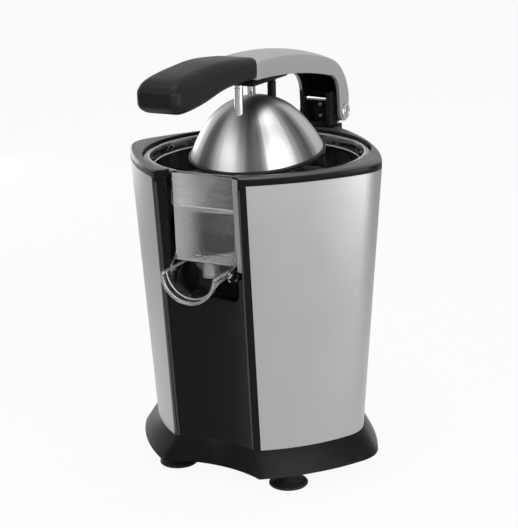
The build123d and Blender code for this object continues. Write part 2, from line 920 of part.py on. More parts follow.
with BuildPart() as reamer:
    with BuildSketch(Plane.XZ):
        with BuildLine():
            reamer_side(0)
            Line((0, reamer_base_z + reamer_height), (0, reamer_base_z))
        make_face()
    revolve(axis=Axis.Z)
    for index in range(reamer_fins):
        add(reamer_fin.part.rotate(Axis.Z, 180 * index / reamer_fins))
    add(
        turned([
            (0, reamer_base_z),
            (reamer_radius - reamer_wall, reamer_base_z),
            (reamer_hub_radius, reamer_cavity_z),
            (reamer_hub_radius, reamer_hub_z),
            (0, reamer_hub_z),
        ]),
        mode=Mode.SUBTRACT,
    )
    add(pillars([(0, 0)], spindle_radius + fit_gap, reamer_hub_z, spindle_top_z), mode=Mode.SUBTRACT)
save(reamer.part, "reamer")

# Spindle: a shaft with a hexagon that slides in the output gear, in two bushes
with BuildPart() as drive_shaft:
    add(pillars([(0, 0)], spindle_radius, hex_top_z, spindle_top_z))
    with BuildSketch(Plane.XY.offset(hex_low_z)):
        RegularPolygon(hex_flats / 2, 6, major_radius=False)
    extrude(amount=hex_top_z - hex_low_z)
    add(pillars([(0, 0)], spindle_low_radius, spindle_low_z, hex_low_z))
save(drive_shaft.part, "drive_shaft")

upper_bush_radius = spindle_radius + run_gap + bush_wall
lower_bush_radius = spindle_low_radius + run_gap + bush_wall
with BuildPart() as upper_bush:
    add(pillars([(0, 0)], upper_bush_radius, nose_top - bush_height, nose_top))
    add(pillars([(0, 0)], spindle_radius + run_gap, nose_top - bush_height, nose_top), mode=Mode.SUBTRACT)
save(upper_bush.part, "upper_bush")

low_bush_top = gearbox_low + low_bush_height
with BuildPart() as lower_bush:
    add(pillars([(0, 0)], lower_bush_radius, gearbox_low, low_bush_top))
    add(pillars([(0, 0)], spindle_low_radius + run_gap, gearbox_low, low_bush_top), mode=Mode.SUBTRACT)
save(lower_bush.part, "lower_bush")

# Gear train: motor pinion, compound idler and output gear
idler_distance = gear_module * (output_teeth + idler_pinion_teeth) / 2
motor_distance = gear_module * (idler_gear_teeth + motor_pinion_teeth) / 2
idler_x = idler_distance * cos(idler_direction)
idler_y = idler_distance * sin(idler_direction)
motor_x = idler_x + motor_distance * cos(motor_direction)
motor_y = idler_y + motor_distance * sin(motor_direction)
floor_top = gearbox_low + gearbox_wall
idler_gear_z = output_gear_z + output_gear_width + gear_side_gap
idler_gear_top = idler_gear_z + idler_gear_width


def gear_sketch(teeth: int, facing: float) -> Sketch:
    """Spur gear outline on the spot, with one tooth towards a direction."""
    pitch_radius = gear_module * teeth / 2
    base_radius = pitch_radius * cos(pressure_angle)
    root_radius = pitch_radius - dedendum * gear_module
    tip_radius = pitch_radius + addendum * gear_module
    pitch_half = pi / (2 * teeth) - backlash / (2 * pitch_radius)
    flank = [max(root_radius, base_radius), pitch_radius, tip_radius]

    def half_angle(radius: float) -> float:
        turn = acos(min(1.0, base_radius / radius))
        return pitch_half + tan(pressure_angle) - pressure_angle - tan(turn) + turn

    side = [(root_radius, half_angle(flank[0]))] + [(radius, half_angle(radius)) for radius in flank]
    if root_radius >= base_radius:
        side = side[1:]
    outline = []
    for tooth in range(teeth):
        centre = facing + 2 * pi * tooth / teeth
        rising = [(radius, centre - half) for radius, half in side]
        falling = [(radius, centre + half) for radius, half in reversed(side)]
        outline += [(radius * cos(angle), radius * sin(angle)) for radius, angle in rising + falling]
    with BuildSketch() as face:
        with BuildLine():
            Polyline(*outline, close=True)
        make_face()
    return face.sketch


def gear(teeth: int, facing: float, spot: tuple, low: float, width: float) -> Part:
    """Spur gear standing at a spot."""
    with BuildPart() as wheel:
        with BuildSketch(Plane.XY.offset(low)):
            with Locations(spot):
                add(gear_sketch(teeth, facing))
        extrude(amount=width)
    return wheel.part


output_boss_low = low_bush_top + seat_gap
with BuildPart() as output_gear:
    add(gear(output_teeth, idler_direction, (0, 0), output_gear_z, output_gear_width))
    add(pillars([(0, 0)], output_boss_radius, output_boss_low, output_gear_z))
    with BuildSketch(Plane.XY.offset(output_boss_low)):
        RegularPolygon(hex_flats / 2 + hex_gap, 6, major_radius=False)
    extrude(amount=output_gear_z + output_gear_width - output_boss_low, mode=Mode.SUBTRACT)
save(output_gear.part, "output_gear")

idler_spot = (idler_x, idler_y)
idler_facing = idler_direction + pi + pi / idler_pinion_teeth
pinion_low = output_gear_z - gear_side_gap / 2
idler_low = floor_top + seat_gap
idler_high = gearbox_top - seat_gap
with BuildPart() as idler_gear:
    add(gear(idler_pinion_teeth, idler_facing, idler_spot, pinion_low, idler_gear_z - pinion_low))
    add(gear(idler_gear_teeth, motor_direction, idler_spot, idler_gear_z, idler_gear_width))
    add(pillars([idler_spot], idler_boss_radius, idler_low, pinion_low))
    add(pillars([idler_spot], idler_boss_radius, idler_gear_top, idler_high))
    add(pillars([idler_spot], idler_pin_radius + run_gap, idler_low, idler_high), mode=Mode.SUBTRACT)
save(idler_gear.part, "idler_gear")

idler_pin_low = gearbox_low + pin_seat / 4
idler_pin_high = gearbox_top + pin_seat
save(pillars([idler_spot], idler_pin_radius, idler_pin_low, idler_pin_high), "idler_pin")

motor_spot = (motor_x, motor_y)
motor_facing = motor_direction + pi + pi / motor_pinion_teeth
motor_pinion_low = idler_gear_z - gear_side_gap / 2
motor_pinion_high = idler_gear_top + gear_side_gap / 2
with BuildPart() as motor_pinion:
    pinion_width = motor_pinion_high - motor_pinion_low
    add(gear(motor_pinion_teeth, motor_facing, motor_spot, motor_pinion_low, pinion_width))
    add(pillars([motor_spot], motor_shaft_radius, motor_pinion_low, motor_pinion_high), mode=Mode.SUBTRACT)
save(motor_pinion.part, "motor_pinion")

# Gearbox: a tray with screw lugs, and a cover with the spindle's nose
gear_rooms = (
    ((0, 0), output_teeth),
    (idler_spot, idler_gear_teeth),
    (motor_spot, motor_pinion_teeth),
)


def room_radius(teeth: int) -> float:
    """Radius of the gearbox inside round a gear."""
    return gear_module * (teeth / 2 + addendum) + gear_room


def train_outline(grow: float) -> Sketch:
    """Outline round the gear train."""
    with BuildSketch() as outline:
        for spot, teeth in gear_rooms:
            with Locations(spot):
                Circle(room_radius(teeth) + grow)
        make_hull()
    return outline.sketch


def train_block(grow: float, low: float, high: float) -> Part:
    """Solid round the gear train between two heights."""
    with BuildPart() as block:
        with BuildSketch(Plane.XY.offset(low)):
            add(train_outline(grow))
        extrude(amount=high - low)
    return block.part


def lug_spot(spot: tuple, teeth: int, direction: float) -> tuple:
    """Place of a screw lug on the gearbox wall."""
    reach = room_radius(teeth) + gearbox_wall + lug_reach
    return spot[0] + reach * cos(radians(direction)), spot[1] + reach * sin(radians(direction))


lug_spots = [
    lug_spot((0, 0), output_teeth, 200),
    lug_spot((0, 0), output_teeth, 300),
    lug_spot(idler_spot, idler_gear_teeth, 0),
    lug_spot(motor_spot, motor_pinion_teeth, 130),
]


def motor_screw_spot(target: tuple) -> tuple:
    """Place of a motor screw on the way from the motor to another axis."""
    spot = Vector(*motor_spot) + (Vector(*target) - Vector(*motor_spot)).normalized() * motor_screw_spread
    return spot.X, spot.Y


motor_screw_spots = [motor_screw_spot((0, 0)), motor_screw_spot(idler_spot)]
cover_head_low = deck_low - screw_head_height
lug_screw_tip = cover_head_low - lug_screw_length

with BuildPart() as gearbox_housing:
    add(train_block(gearbox_wall, gearbox_low, gearbox_top))
    add(pillars(lug_spots, lug_radius, gearbox_low, gearbox_top))
    add(train_block(0, floor_top, gearbox_top), mode=Mode.SUBTRACT)
    add(pillars([(0, 0)], lower_bush_radius, gearbox_low, floor_top), mode=Mode.SUBTRACT)
    add(pillars([idler_spot], idler_pin_radius, idler_pin_low, floor_top), mode=Mode.SUBTRACT)
    add(pillars([motor_spot], 2 * motor_shaft_radius, gearbox_low, floor_top), mode=Mode.SUBTRACT)
    add(pillars(motor_screw_spots, shank_room, gearbox_low, floor_top), mode=Mode.SUBTRACT)
    add(pillars(lug_spots, shank_room, lug_screw_tip - seat_gap, gearbox_top), mode=Mode.SUBTRACT)
save(gearbox_housing.part, "gearbox_housing")

with BuildPart() as gearbox_cover:
    add(train_block(gearbox_wall, gearbox_top, deck_low))
    add(pillars(lug_spots, lug_radius, gearbox_top, deck_low))
    add(pillars([(0, 0)], nose_radius, gearbox_top, nose_top))
    add(pillars([(0, 0)], upper_bush_radius, gearbox_top, nose_top), mode=Mode.SUBTRACT)
    add(pillars([idler_spot], idler_pin_radius, gearbox_top, idler_pin_high), mode=Mode.SUBTRACT)
    add(pillars(lug_spots, shank_room, gearbox_top, deck_low), mode=Mode.SUBTRACT)
    add(pillars(lug_spots, head_room, cover_head_low, deck_low), mode=Mode.SUBTRACT)
save(gearbox_cover.part, "gearbox_cover")
save(screws(lug_spots, cover_head_low, deck_low, lug_screw_tip), "gearbox_screws")

# Motor: a can under the gearbox with a rotor on a long shaft
motor_low = gearbox_low - motor_length
motor_screw_tip = floor_top - motor_screw_length
rotor_radius = motor_radius - motor_wall - rotor_gap
with BuildPart() as motor_can:
    add(pillars([motor_spot], motor_radius, motor_low, gearbox_low))
    add(
        pillars([motor_spot], motor_radius - motor_wall, motor_low + motor_wall, gearbox_low - motor_wall),
        mode=Mode.SUBTRACT,
    )
    shaft_room = motor_shaft_radius + run_gap
    add(pillars([motor_spot], shaft_room, motor_low + motor_wall / 2, gearbox_low), mode=Mode.SUBTRACT)
    add(pillars(motor_screw_spots, shank_room, gearbox_low - motor_wall, gearbox_low), mode=Mode.SUBTRACT)
save(motor_can.part, "motor_can")
save(screws(motor_screw_spots, floor_top, floor_top + screw_head_height, motor_screw_tip), "motor_screws")

with BuildPart() as motor_rotor:
    shaft_low = motor_low + motor_wall / 2 + seat_gap
    add(pillars([motor_spot], motor_shaft_radius, shaft_low, motor_pinion_high))
    add(pillars([motor_spot], rotor_radius, motor_low + rotor_end_room, gearbox_low - rotor_end_room))
save(motor_rotor.part, "motor_rotor")

# Press switch: a spring-loaded cup under the shaft pushes a switch button
bracket_top = bracket_low + bracket_thick
cup_top = spindle_low_z - seat_gap
cup_low = cup_top - cup_thick
with BuildPart() as switch_bracket:
    bracket_y = (-bracket_depth / 2, bracket_depth / 2)
    add(brick((-bracket_half, bracket_half), bracket_y, (bracket_low, bracket_top)))
    for side in (-1, 1):
        leg = sorted((side * bracket_half, side * (bracket_half - bracket_leg)))
        add(brick(leg, bracket_y, (bracket_low, gearbox_low)))
    add(pillars([(0, 0)], guide_radius, bracket_top, bracket_top + guide_height))
save(switch_bracket.part, "switch_bracket")

with BuildPart() as thrust_cup:
    add(pillars([(0, 0)], cup_radius, cup_low, cup_top))
    add(brick((0, switch_x + cup_tab_half), (-cup_tab_half, cup_tab_half), (cup_low, cup_top)))
save(thrust_cup.part, "thrust_cup")

switch_top = bracket_top + switch_height
with BuildPart() as micro_switch:
    switch_x_range = (switch_x - switch_width / 2, switch_x + switch_width / 2)
    add(brick(switch_x_range, (-switch_depth / 2, switch_depth / 2), (bracket_top, switch_top)))
    button_room = button_radius + run_gap
    add(pillars([(switch_x, 0)], button_room, switch_top - button_bore, switch_top), mode=Mode.SUBTRACT)
save(micro_switch.part, "micro_switch")
save(pillars([(switch_x, 0)], button_radius, switch_top - button_seat, cup_low), "switch_button")

spring_low = bracket_top + spring_wire
spring_rise = cup_low - bracket_top - 2 * spring_wire
spring_pitch = spring_rise / spring_turns


def spring_point(turn: float) -> tuple:
    """Point and direction of the spring's centre line after a number of turns."""
    angle = 2 * pi * turn
    point = Vector(spring_radius * cos(angle), spring_radius * sin(angle), spring_low + spring_pitch * turn)
    lead = Vector(-spring_radius * sin(angle), spring_radius * cos(angle), spring_pitch / (2 * pi))
    return point, lead.normalized()


def biarc_joint(start: Vector, start_lead: Vector, end: Vector, end_lead: Vector) -> Vector:
    """Point where two arcs of equal reach join smoothly between two directed points."""
    run = end - start
    leads = start_lead + end_lead
    spread = 2 * (1 - start_lead.dot(end_lead))
    reach = (-run.dot(leads) + sqrt(run.dot(leads) ** 2 + spread * run.dot(run))) / spread
    return (start + end) / 2 + (start_lead - end_lead) * (reach / 2)


with BuildPart() as return_spring:
    with BuildLine() as coil:
        for quarter in range(round(4 * spring_turns)):
            start, start_lead = spring_point(quarter / 4)
            end, end_lead = spring_point((quarter + 1) / 4)
            joint = biarc_joint(start, start_lead, end, end_lead)
            first = TangentArc(start, joint, tangent=start_lead)
            TangentArc(joint, end, tangent=first % 1)
    with BuildSketch(Plane(origin=coil.line @ 0, z_dir=coil.line % 0)):
        Circle(spring_wire)
    sweep(path=coil.line)
save(return_spring.part, "return_spring")
lead_cosine = 1 / sqrt(1 + (spring_pitch / (2 * pi * spring_radius)) ** 2)
print("least gap between spring coils", round(spring_pitch * lead_cosine - 2 * spring_wire, 2))

# Hinge post at the rear of the collar
def post_plug() -> Part:
    """Foot of the post below the collar, inside the steel."""
    with BuildPart() as plug:
        add(body_block(chassis_top, steel_top, chassis_inset))
        reach = (post_foot_front, 2 * top_rear_y)
        add(brick((-post_foot_half, post_foot_half), reach, (chassis_top, steel_top)), mode=Mode.INTERSECT)
    return plug.part


with BuildPart() as hinge_post:
    with BuildSketch(Plane.XY.offset(steel_top)):
        with Locations((0, (post_foot_front + post_foot_rear) / 2)):
            foot_plate = Rectangle(2 * post_foot_half, post_foot_rear - post_foot_front)
        fillet(foot_plate.vertices().sort_by(Axis.Y)[-2:], post_foot_round)
    extrude(amount=collar_height)
    with BuildSketch(Plane.YZ):
        with Locations((hinge_y, hinge_z)):
            Circle(post_rear_radius)
        with Locations((post_front_y + post_flat / 2, (collar_top + post_top_z) / 2)):
            Rectangle(post_flat, post_top_z - collar_top)
        make_hull()
    extrude(amount=post_half, both=True)
    add(post_plug())
    recess_back = post_front_y + recess_depth
    recess_y = (post_front_y, recess_back)
    add(brick((-recess_half, recess_half), recess_y, (recess_low_z, post_top_z)), mode=Mode.SUBTRACT)
    pin_room = hinge_pin_radius + run_gap
    add(cross_pin(hinge_y, hinge_z, pin_room, -post_half, post_half), mode=Mode.SUBTRACT)
    bar_half = recess_half + bar_seat
    add(cross_pin(bar_y, bar_z, bar_radius, -bar_half, bar_half), mode=Mode.SUBTRACT)
    with BuildSketch(Plane.XZ.offset(-recess_back)):
        with Locations(*cover_screw_spots):
            Circle(cover_screw_radius)
    extrude(amount=-cover_screw_length, mode=Mode.SUBTRACT)
save(hinge_post.part, "hinge_post")
save(cross_pin(bar_y, bar_z, bar_radius, -bar_half, bar_half), "stop_bar")

plate_low = recess_low_z + seat_gap
with BuildPart() as post_cover:
    plate_half = recess_half - seat_gap
    plate_y = (recess_back - cover_plate_thick, recess_back)
    add(brick((-plate_half, plate_half), plate_y, (plate_low, plate_low + cover_plate_height)))
    with BuildSketch(Plane.XZ.offset(-recess_back)):
        with Locations(*cover_screw_spots):
            Circle(cover_screw_radius)
    extrude(amount=cover_plate_thick, mode=Mode.SUBTRACT)
save(post_cover.part, "post_cover")

with BuildPart() as post_screws:
    with BuildSketch(Plane.XZ.offset(cover_plate_thick - recess_back)):
        with Locations(*cover_screw_spots):
            Circle(cover_screw_head)
    extrude(amount=cover_screw_head_height)
    with BuildSketch(Plane.XZ.offset(cover_plate_thick - recess_back)):
        with Locations(*cover_screw_spots):
            Circle(cover_screw_radius)
    extrude(amount=-cover_plate_thick - cover_screw_length)
save(post_screws.part, "post_screws")


# Lever: a crowned arch of U section with a grip in front
with BuildPart() as lever_arm:
    with BuildSketch(Plane.YZ):
        with BuildLine():
            arch, heel = arm_top()
            cheek_rear = (hinge_y + cheek_radius, hinge_z)
            cheek_front = (hinge_y - cheek_radius, hinge_z)
            Line(heel @ 1, cheek_rear)
            ThreePointArc(cheek_rear, (hinge_y, hinge_z - cheek_radius), cheek_front)
            Line(cheek_front, (leg_front_y, leg_front_z))
            ThreePointArc((leg_front_y, leg_front_z), (bend_y, bend_z), (under_end_y, under_end_z))
            ThreePointArc((under_end_y, under_end_z), (under_mid_y, under_mid_z), (joint_y, joint_low_z))
            Line((joint_y, joint_low_z), (joint_y, joint_top_z))
        make_face()
    extrude(amount=arm_half, both=True)
    with BuildLine(Plane.YZ) as crest:
        arm_top()
    with BuildSketch(Plane(origin=crest.line @ 0, x_dir=(-1, 0, 0), z_dir=crest.line % 0)):
        with BuildLine():
            ThreePointArc((-arm_half, 0), (0, arm_crown), (arm_half, 0))
            Polyline((arm_half, 0), (arm_half, -1), (-arm_half, -1), (-arm_half, 0))
        make_face()
    sweep(path=crest.line)
    add(
        brick((-2 * arm_half, 2 * arm_half), (2 * joint_y, joint_y), (steel_top, 2 * steel_top)),
        mode=Mode.SUBTRACT,
    )
    with BuildSketch(Plane.YZ):
        with BuildLine(mode=Mode.PRIVATE):
            arch, heel = arm_top()
        with BuildLine():
            share = arm_solid_end / arch.length
            near = beside(arch, share, arm_wall)
            far = beside(arch, 1, arm_wall)
            ThreePointArc(near, beside(arch, (1 + share) / 2, arm_wall), far)
            back = beside(heel, 1, arm_wall)
            ThreePointArc(far, beside(heel, 0.5, arm_wall), back)
            behind = 2 * arch_rear_y
            Polyline(back, (back.X, web_end_z), (behind, web_end_z), (behind, steel_top), (near.X, steel_top), near)
        make_face()
    extrude(amount=arm_half - arm_wall, both=True, mode=Mode.SUBTRACT)
    add(cross_pin(hinge_y, hinge_z, hinge_pin_radius, -arm_half, arm_half), mode=Mode.SUBTRACT)
save(lever_arm.part, "lever_arm")
save(cross_pin(hinge_y, hinge_z, hinge_pin_radius, -arm_half, arm_half), "hinge_pin")
for place, side in (("left", -1), ("right", 1)):
    cap = cross_pin(hinge_y, hinge_z, cap_radius, side * arm_half, side * (arm_half + cap_thick))
    save(cap, f"hinge_cap_{place}")

with BuildPart() as grip:
    for y, low, high, half in grip_sections:
        with BuildSketch(Plane.XZ.offset(-y)):
            with Locations((0, (low + high) / 2)):
                RectangleRounded(2 * half, high - low, grip_round * (high - low))
    loft()
save(grip.part, "grip")

# Press dome on three rods under the arm
with BuildPart() as rod_plate:
    plate_x = arm_half - arm_wall - seat_gap
    plate_z = (rod_plate_low, rod_plate_low + rod_plate_thick)
    add(brick((-plate_x, plate_x), (rod_plate_front, rod_plate_rear), plate_z))
    boss_y = (-rod_boss_length / 2, rod_boss_length / 2)
    add(brick((-rod_boss_half, rod_boss_half), boss_y, (plate_z[1], joint_top_z)))
    add(lever_arm.part, mode=Mode.SUBTRACT)
save(rod_plate.part, "rod_plate")

dome_place = Location((0, dome_y, dome_z), (dome_tilt, 0, 0))


def dome_outside() -> tuple:
    """Draw the dome's outside from its top to its rim."""
    turn = radians(dome_crown_angle)
    centre_z = dome_height - dome_crown_radius

    def crown_point(angle: float) -> tuple:
        return dome_crown_radius * sin(angle), centre_z + dome_crown_radius * cos(angle)

    crown = ThreePointArc((0, dome_height), crown_point(turn / 2), crown_point(turn))
    wall = TangentArc(crown @ 1, (dome_radius, 0), tangent=crown % 1)
    return crown, wall


with BuildPart() as dome_solid:
    with BuildSketch(Plane.XZ):
        with BuildLine():
            dome_outside()
            Polyline((dome_radius, 0), (0, 0), (0, dome_height))
        make_face()
    revolve(axis=Axis.Z)

with BuildPart() as press_dome:
    add(dome_solid.part)
    with BuildSketch(Plane.XZ):
        with BuildLine(mode=Mode.PRIVATE):
            crown, wall = dome_outside()
        with BuildLine():
            top = (0, dome_height - dome_sheet)
            turn_spot = beside(crown, 1, dome_sheet)
            rim_spot = beside(wall, 1, dome_sheet)
            ThreePointArc(top, beside(crown, 0.5, dome_sheet), turn_spot)
            ThreePointArc(turn_spot, beside(wall, 0.5, dome_sheet), rim_spot)
            Polyline(rim_spot, (rim_spot.X, -dome_sheet), (0, -dome_sheet), top)
        make_face()
    revolve(axis=Axis.Z, mode=Mode.SUBTRACT)
save(press_dome.part.moved(dome_place), "press_dome")

with BuildPart() as dome_lip:
    with BuildSketch(Plane.XY.offset(-lip_height)):
        Circle(lip_radius)
        Circle(dome_radius - 2 * dome_sheet, mode=Mode.SUBTRACT)
    extrude(amount=lip_height)
    fillet(dome_lip.edges().filter_by(GeomType.CIRCLE).sort_by(SortBy.RADIUS)[-2:], lip_round)
save(dome_lip.part.moved(dome_place), "dome_lip")

rod_spots = {
    "front": (0, front_rod_y),
    "rear_left": (-rear_rod_x, rear_rod_y),
    "rear_right": (rear_rod_x, rear_rod_y),
}
for place, spot in rod_spots.items():
    with BuildPart() as rod:
        add(pillars([spot], rod_radius, dome_z + dome_height / 2, rod_plate_low))
        add(dome_solid.part.moved(dome_place), mode=Mode.SUBTRACT)
    save(rod.part, f"press_rod_{place}")
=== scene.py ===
"""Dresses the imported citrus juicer: finishes for its solids, softened shells and fine pieces."""
from __future__ import annotations

import json
import logging
from collections.abc import Callable
from dataclasses import dataclass, field
from enum import Enum
from math import atan2, cos, pi, radians, sin

import bmesh
import bpy
from mathutils import Matrix, Vector
from mathutils.bvhtree import BVHTree


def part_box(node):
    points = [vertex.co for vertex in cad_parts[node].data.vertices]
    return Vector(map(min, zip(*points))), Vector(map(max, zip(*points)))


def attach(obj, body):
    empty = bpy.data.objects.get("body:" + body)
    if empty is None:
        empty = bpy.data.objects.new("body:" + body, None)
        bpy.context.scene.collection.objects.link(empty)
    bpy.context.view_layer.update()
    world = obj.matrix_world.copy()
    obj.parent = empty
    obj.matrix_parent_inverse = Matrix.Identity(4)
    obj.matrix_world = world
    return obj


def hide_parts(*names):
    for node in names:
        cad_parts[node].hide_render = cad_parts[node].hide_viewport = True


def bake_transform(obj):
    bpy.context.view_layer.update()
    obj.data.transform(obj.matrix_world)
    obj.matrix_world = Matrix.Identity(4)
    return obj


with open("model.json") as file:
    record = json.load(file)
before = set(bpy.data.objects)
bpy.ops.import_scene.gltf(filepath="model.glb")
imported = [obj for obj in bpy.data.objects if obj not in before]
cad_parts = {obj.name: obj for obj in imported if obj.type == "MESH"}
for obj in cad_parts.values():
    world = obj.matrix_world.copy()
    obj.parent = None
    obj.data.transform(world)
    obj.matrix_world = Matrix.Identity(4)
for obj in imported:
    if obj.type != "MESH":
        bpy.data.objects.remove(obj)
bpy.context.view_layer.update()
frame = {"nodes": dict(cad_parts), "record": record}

NODES = frame["nodes"]
BODY_OF_NODE = {
    node: body for body, nodes in frame["record"]["behaviour"]["bodies"].items() for node in nodes
}
SLOT_OF_NODE = {row["node"]: row["material_slot"] for row in frame["record"]["subparts"]}
SPINDLE_Y = (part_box("drive_shaft")[0][1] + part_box("drive_shaft")[1][1]) / 2
LOG = logging.getLogger("juicer")

MM = 0.001
MERGE = 2e-6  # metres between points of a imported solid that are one
FLAT_ANGLE = 0.4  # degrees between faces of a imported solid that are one
SHARP_ANGLE = 38.0  # degrees between faces whose edge stays sharp
AXIS = 1e-6  # millimetres from the axis at which a ring is one point
TOUCH = 0.02  # millimetres between a thin piece and the face that it lies on
BRUSH_LENGTH = 45  # length of a brush mark against its width
PLASTIC_IOR = 1.45
FLAT = (1, 1, 0)  # scale that lays a vector in the plane of X and Y

Point = tuple[float, float, float]
Pair = tuple[float, float]
Node = bpy.types.Node
Socket = bpy.types.NodeSocket
Tree = bpy.types.NodeTree
Material = bpy.types.Material
Face = bpy.types.MeshPolygon
Piece = bpy.types.Object
Shape = bmesh.types.BMesh
Vert = bmesh.types.BMVert


def place(x: float, y: float, z: float) -> Vector:
    """Point in metres from millimetres counted from the spindle axis."""
    return Vector((x * MM, y * MM + SPINDLE_Y, z * MM))


def spread(first: float, last: float, parts: int) -> list[float]:
    """Numbers from the first to the last in equal steps."""
    return [first + (last - first) * i / parts for i in range(parts + 1)]


def quarter(x: float, z: float, edge: float, start: float, parts: int) -> list[Pair]:
    """Points of a quarter circle about a point, from a start angle in radians."""
    return [(x + edge * cos(a), z + edge * sin(a)) for a in spread(start, start + pi / 2, parts)]


class Texture(Enum):
    """Ways that a surface is finished."""

    BRUSHED = "brushed"
    TURNED = "turned"
    MOULDED = "moulded"
    GLOSSY = "glossy"
    PAINTED = "painted"
    POLISHED = "polished"
    CLEAR = "clear"
    REFLECTION_FILM = "film"


@dataclass(frozen=True)
class Finish:
    """One finish: its colour, gloss and surface texture.

    The tone is how much the grain varies the colour, how clear a clear finish is, or how dense
    the film of painted reflection is.
    """

    name: str
    colour: Point
    roughness: float
    texture: Texture = Texture.MOULDED
    metallic: float = 0.0
    specular: float = 0.5
    tone: float = 0.05
    relief: float = 0.02
    grain: float = 900.0
    smudge: float = 0.22

    @property
    def paint(self) -> tuple[float, ...]:
        """Colour with its alpha."""
        return (*self.colour, 1.0)


@dataclass(frozen=True)
class PaintedDomeReflection:
    """Painted reflection of a spun dome: light and dark sectors that fade out towards its crown."""

    sectors: float = 7.0
    start_angle: float = 63.2
    ragged: float = 1.6
    wave: Pair = (-0.8, 1.1)
    levels: Pair = (0.94, 0.17)
    crown_radii: Pair = (0.006, 0.034)
    crown_level: float = 0.6


@dataclass(frozen=True)
class PaintedReflectionFilm:
    """Where, in metres, the painted reflection on the clear front grows dense, and how dense."""

    side_x: Pair = (-0.0245, 0.001)
    step_z: Pair = (0.208, 0.214)
    streak_scale: Point = (60, 60, 900)
    streaks: float = 0.22
    foot_z: Pair = (0.1745, 0.1775)
    foot_lean: float = 0.26
    drop_scale: float = 420.0
    splash: float = 0.4


class Graph:
    """Small helper that adds and links nodes of one tree."""

    def __init__(self, tree: Tree) -> None:
        """Keep the tree."""
        self.tree = tree

    def add(self, kind: str, **inputs: object) -> Node:
        """Add a node and set or link its inputs.

        Args:
            kind: Node type name.
            inputs: Node properties, or values or sockets by input: its name with _ for a blank, or
                in and its number.

        Returns:
            The new node.
        """
        node = self.tree.nodes.new(kind)
        for name, value in inputs.items():
            if hasattr(node, name) and name not in node.inputs:
                setattr(node, name, value)
                continue
            number = name.removeprefix("in")
            self.feed(node, int(number) if number.isdigit() else name.replace("_", " "), value)
        return node

    def feed(self, node: Node, key: int | str, value: object) -> None:
        """Link a socket to a node's input, or set the input's value.

        Args:
            node: The node.
            key: Name or number of its input.
            value: Socket or value.
        """
        if isinstance(value, Socket):
            self.tree.links.new(value, node.inputs[key])
        else:
            node.inputs[key].default_value = value

    def maths(self, operation: str, first: object, second: object = 0.0) -> Socket:
        """Add a Math node and give back its result."""
        return self.add("ShaderNodeMath", operation=operation, in0=first, in1=second).outputs[0]

    def plus(self, first: object, second: object) -> Socket:
        """Sum of two values."""
        return self.maths("ADD", first, second)

    def minus(self, first: object, second: object) -> Socket:
        """Difference of two values."""
        return self.maths("SUBTRACT", first, second)

    def times(self, first: object, second: object) -> Socket:
        """Product of two values."""
        return self.maths("MULTIPLY", first, second)

    def fade(self, value: Socket, start: float, end: float, first: float, last: float) -> Socket:
        """Smooth step of a value from start to end, as a number from first to last."""
        node = self.add(
            "ShaderNodeMapRange", Value=value, interpolation_type="SMOOTHSTEP", From_Min=start,
            From_Max=end, To_Min=first, To_Max=last,
        )
        return node.outputs[0]

    def vectors(self, operation: str, first: object, **inputs: object) -> Node:
        """Add a Vector Math node."""
        return self.add("ShaderNodeVectorMath", operation=operation, in0=first, **inputs)

    def stretch(self, vector: Socket, scale: Point) -> Socket:
        """Vector scaled along each axis."""
        return self.vectors("MULTIPLY", vector, in1=scale).outputs[0]

    def tint(self, colour: Socket, level: Socket) -> Socket:
        """Colour scaled by a level."""
        return self.vectors("SCALE", colour, Scale=level).outputs[0]

    def length(self, vector: Socket) -> Socket:
        """Length of a vector."""
        return self.vectors("LENGTH", vector).outputs["Value"]

    def split(self, vector: Socket) -> list[Socket]:
        """X, Y and Z of a vector."""
        return list(self.add("ShaderNodeSeparateXYZ", Vector=vector).outputs)

    def noise(self, vector: Socket, scale: float, detail: float, rough: float = 0.5) -> Socket:
        """Level of a noise texture."""
        node = self.add("ShaderNodeTexNoise", Vector=vector, Scale=scale, Detail=detail, Roughness=rough)
        return node.outputs["Fac"]

    def swing(self, noise: Socket, reach: float = 2.0) -> Socket:
        """Noise about nought."""
        return self.times(self.minus(noise, 0.5), reach)

    def bump(self, strength: float, height: Socket) -> Socket:
        """Normal of a relief."""
        return self.add("ShaderNodeBump", Strength=strength, Distance=MM, Height=height).outputs[0]


def bare_graph(owner: Material | bpy.types.World) -> Graph:
    """Give a material or a world an empty tree.

    Args:
        owner: The material or world.

    Returns:
        The tree's graph.
    """
    owner.use_nodes = True
    owner.node_tree.nodes.clear()
    return Graph(owner.node_tree)


def open_group(
    name: str, kind: str, inputs: dict[str, str], outputs: dict[str, str]
) -> tuple[Graph, Node, Node]:
    """Make an empty node group with named sockets.

    Args:
        name: Group name.
        kind: Tree type.
        inputs: Kinds of socket by input name.
        outputs: Kinds of socket by output name.

    Returns:
        The group's graph, its input node and its output node.
    """
    group = bpy.data.node_groups.new(name, kind)
    for way, sockets in (("INPUT", inputs), ("OUTPUT", outputs)):
        for label, socket in sockets.items():
            group.interface.new_socket(label, in_out=way, socket_type=f"NodeSocket{socket}")
    graph = Graph(group)
    return graph, graph.add("NodeGroupInput"), graph.add("NodeGroupOutput")


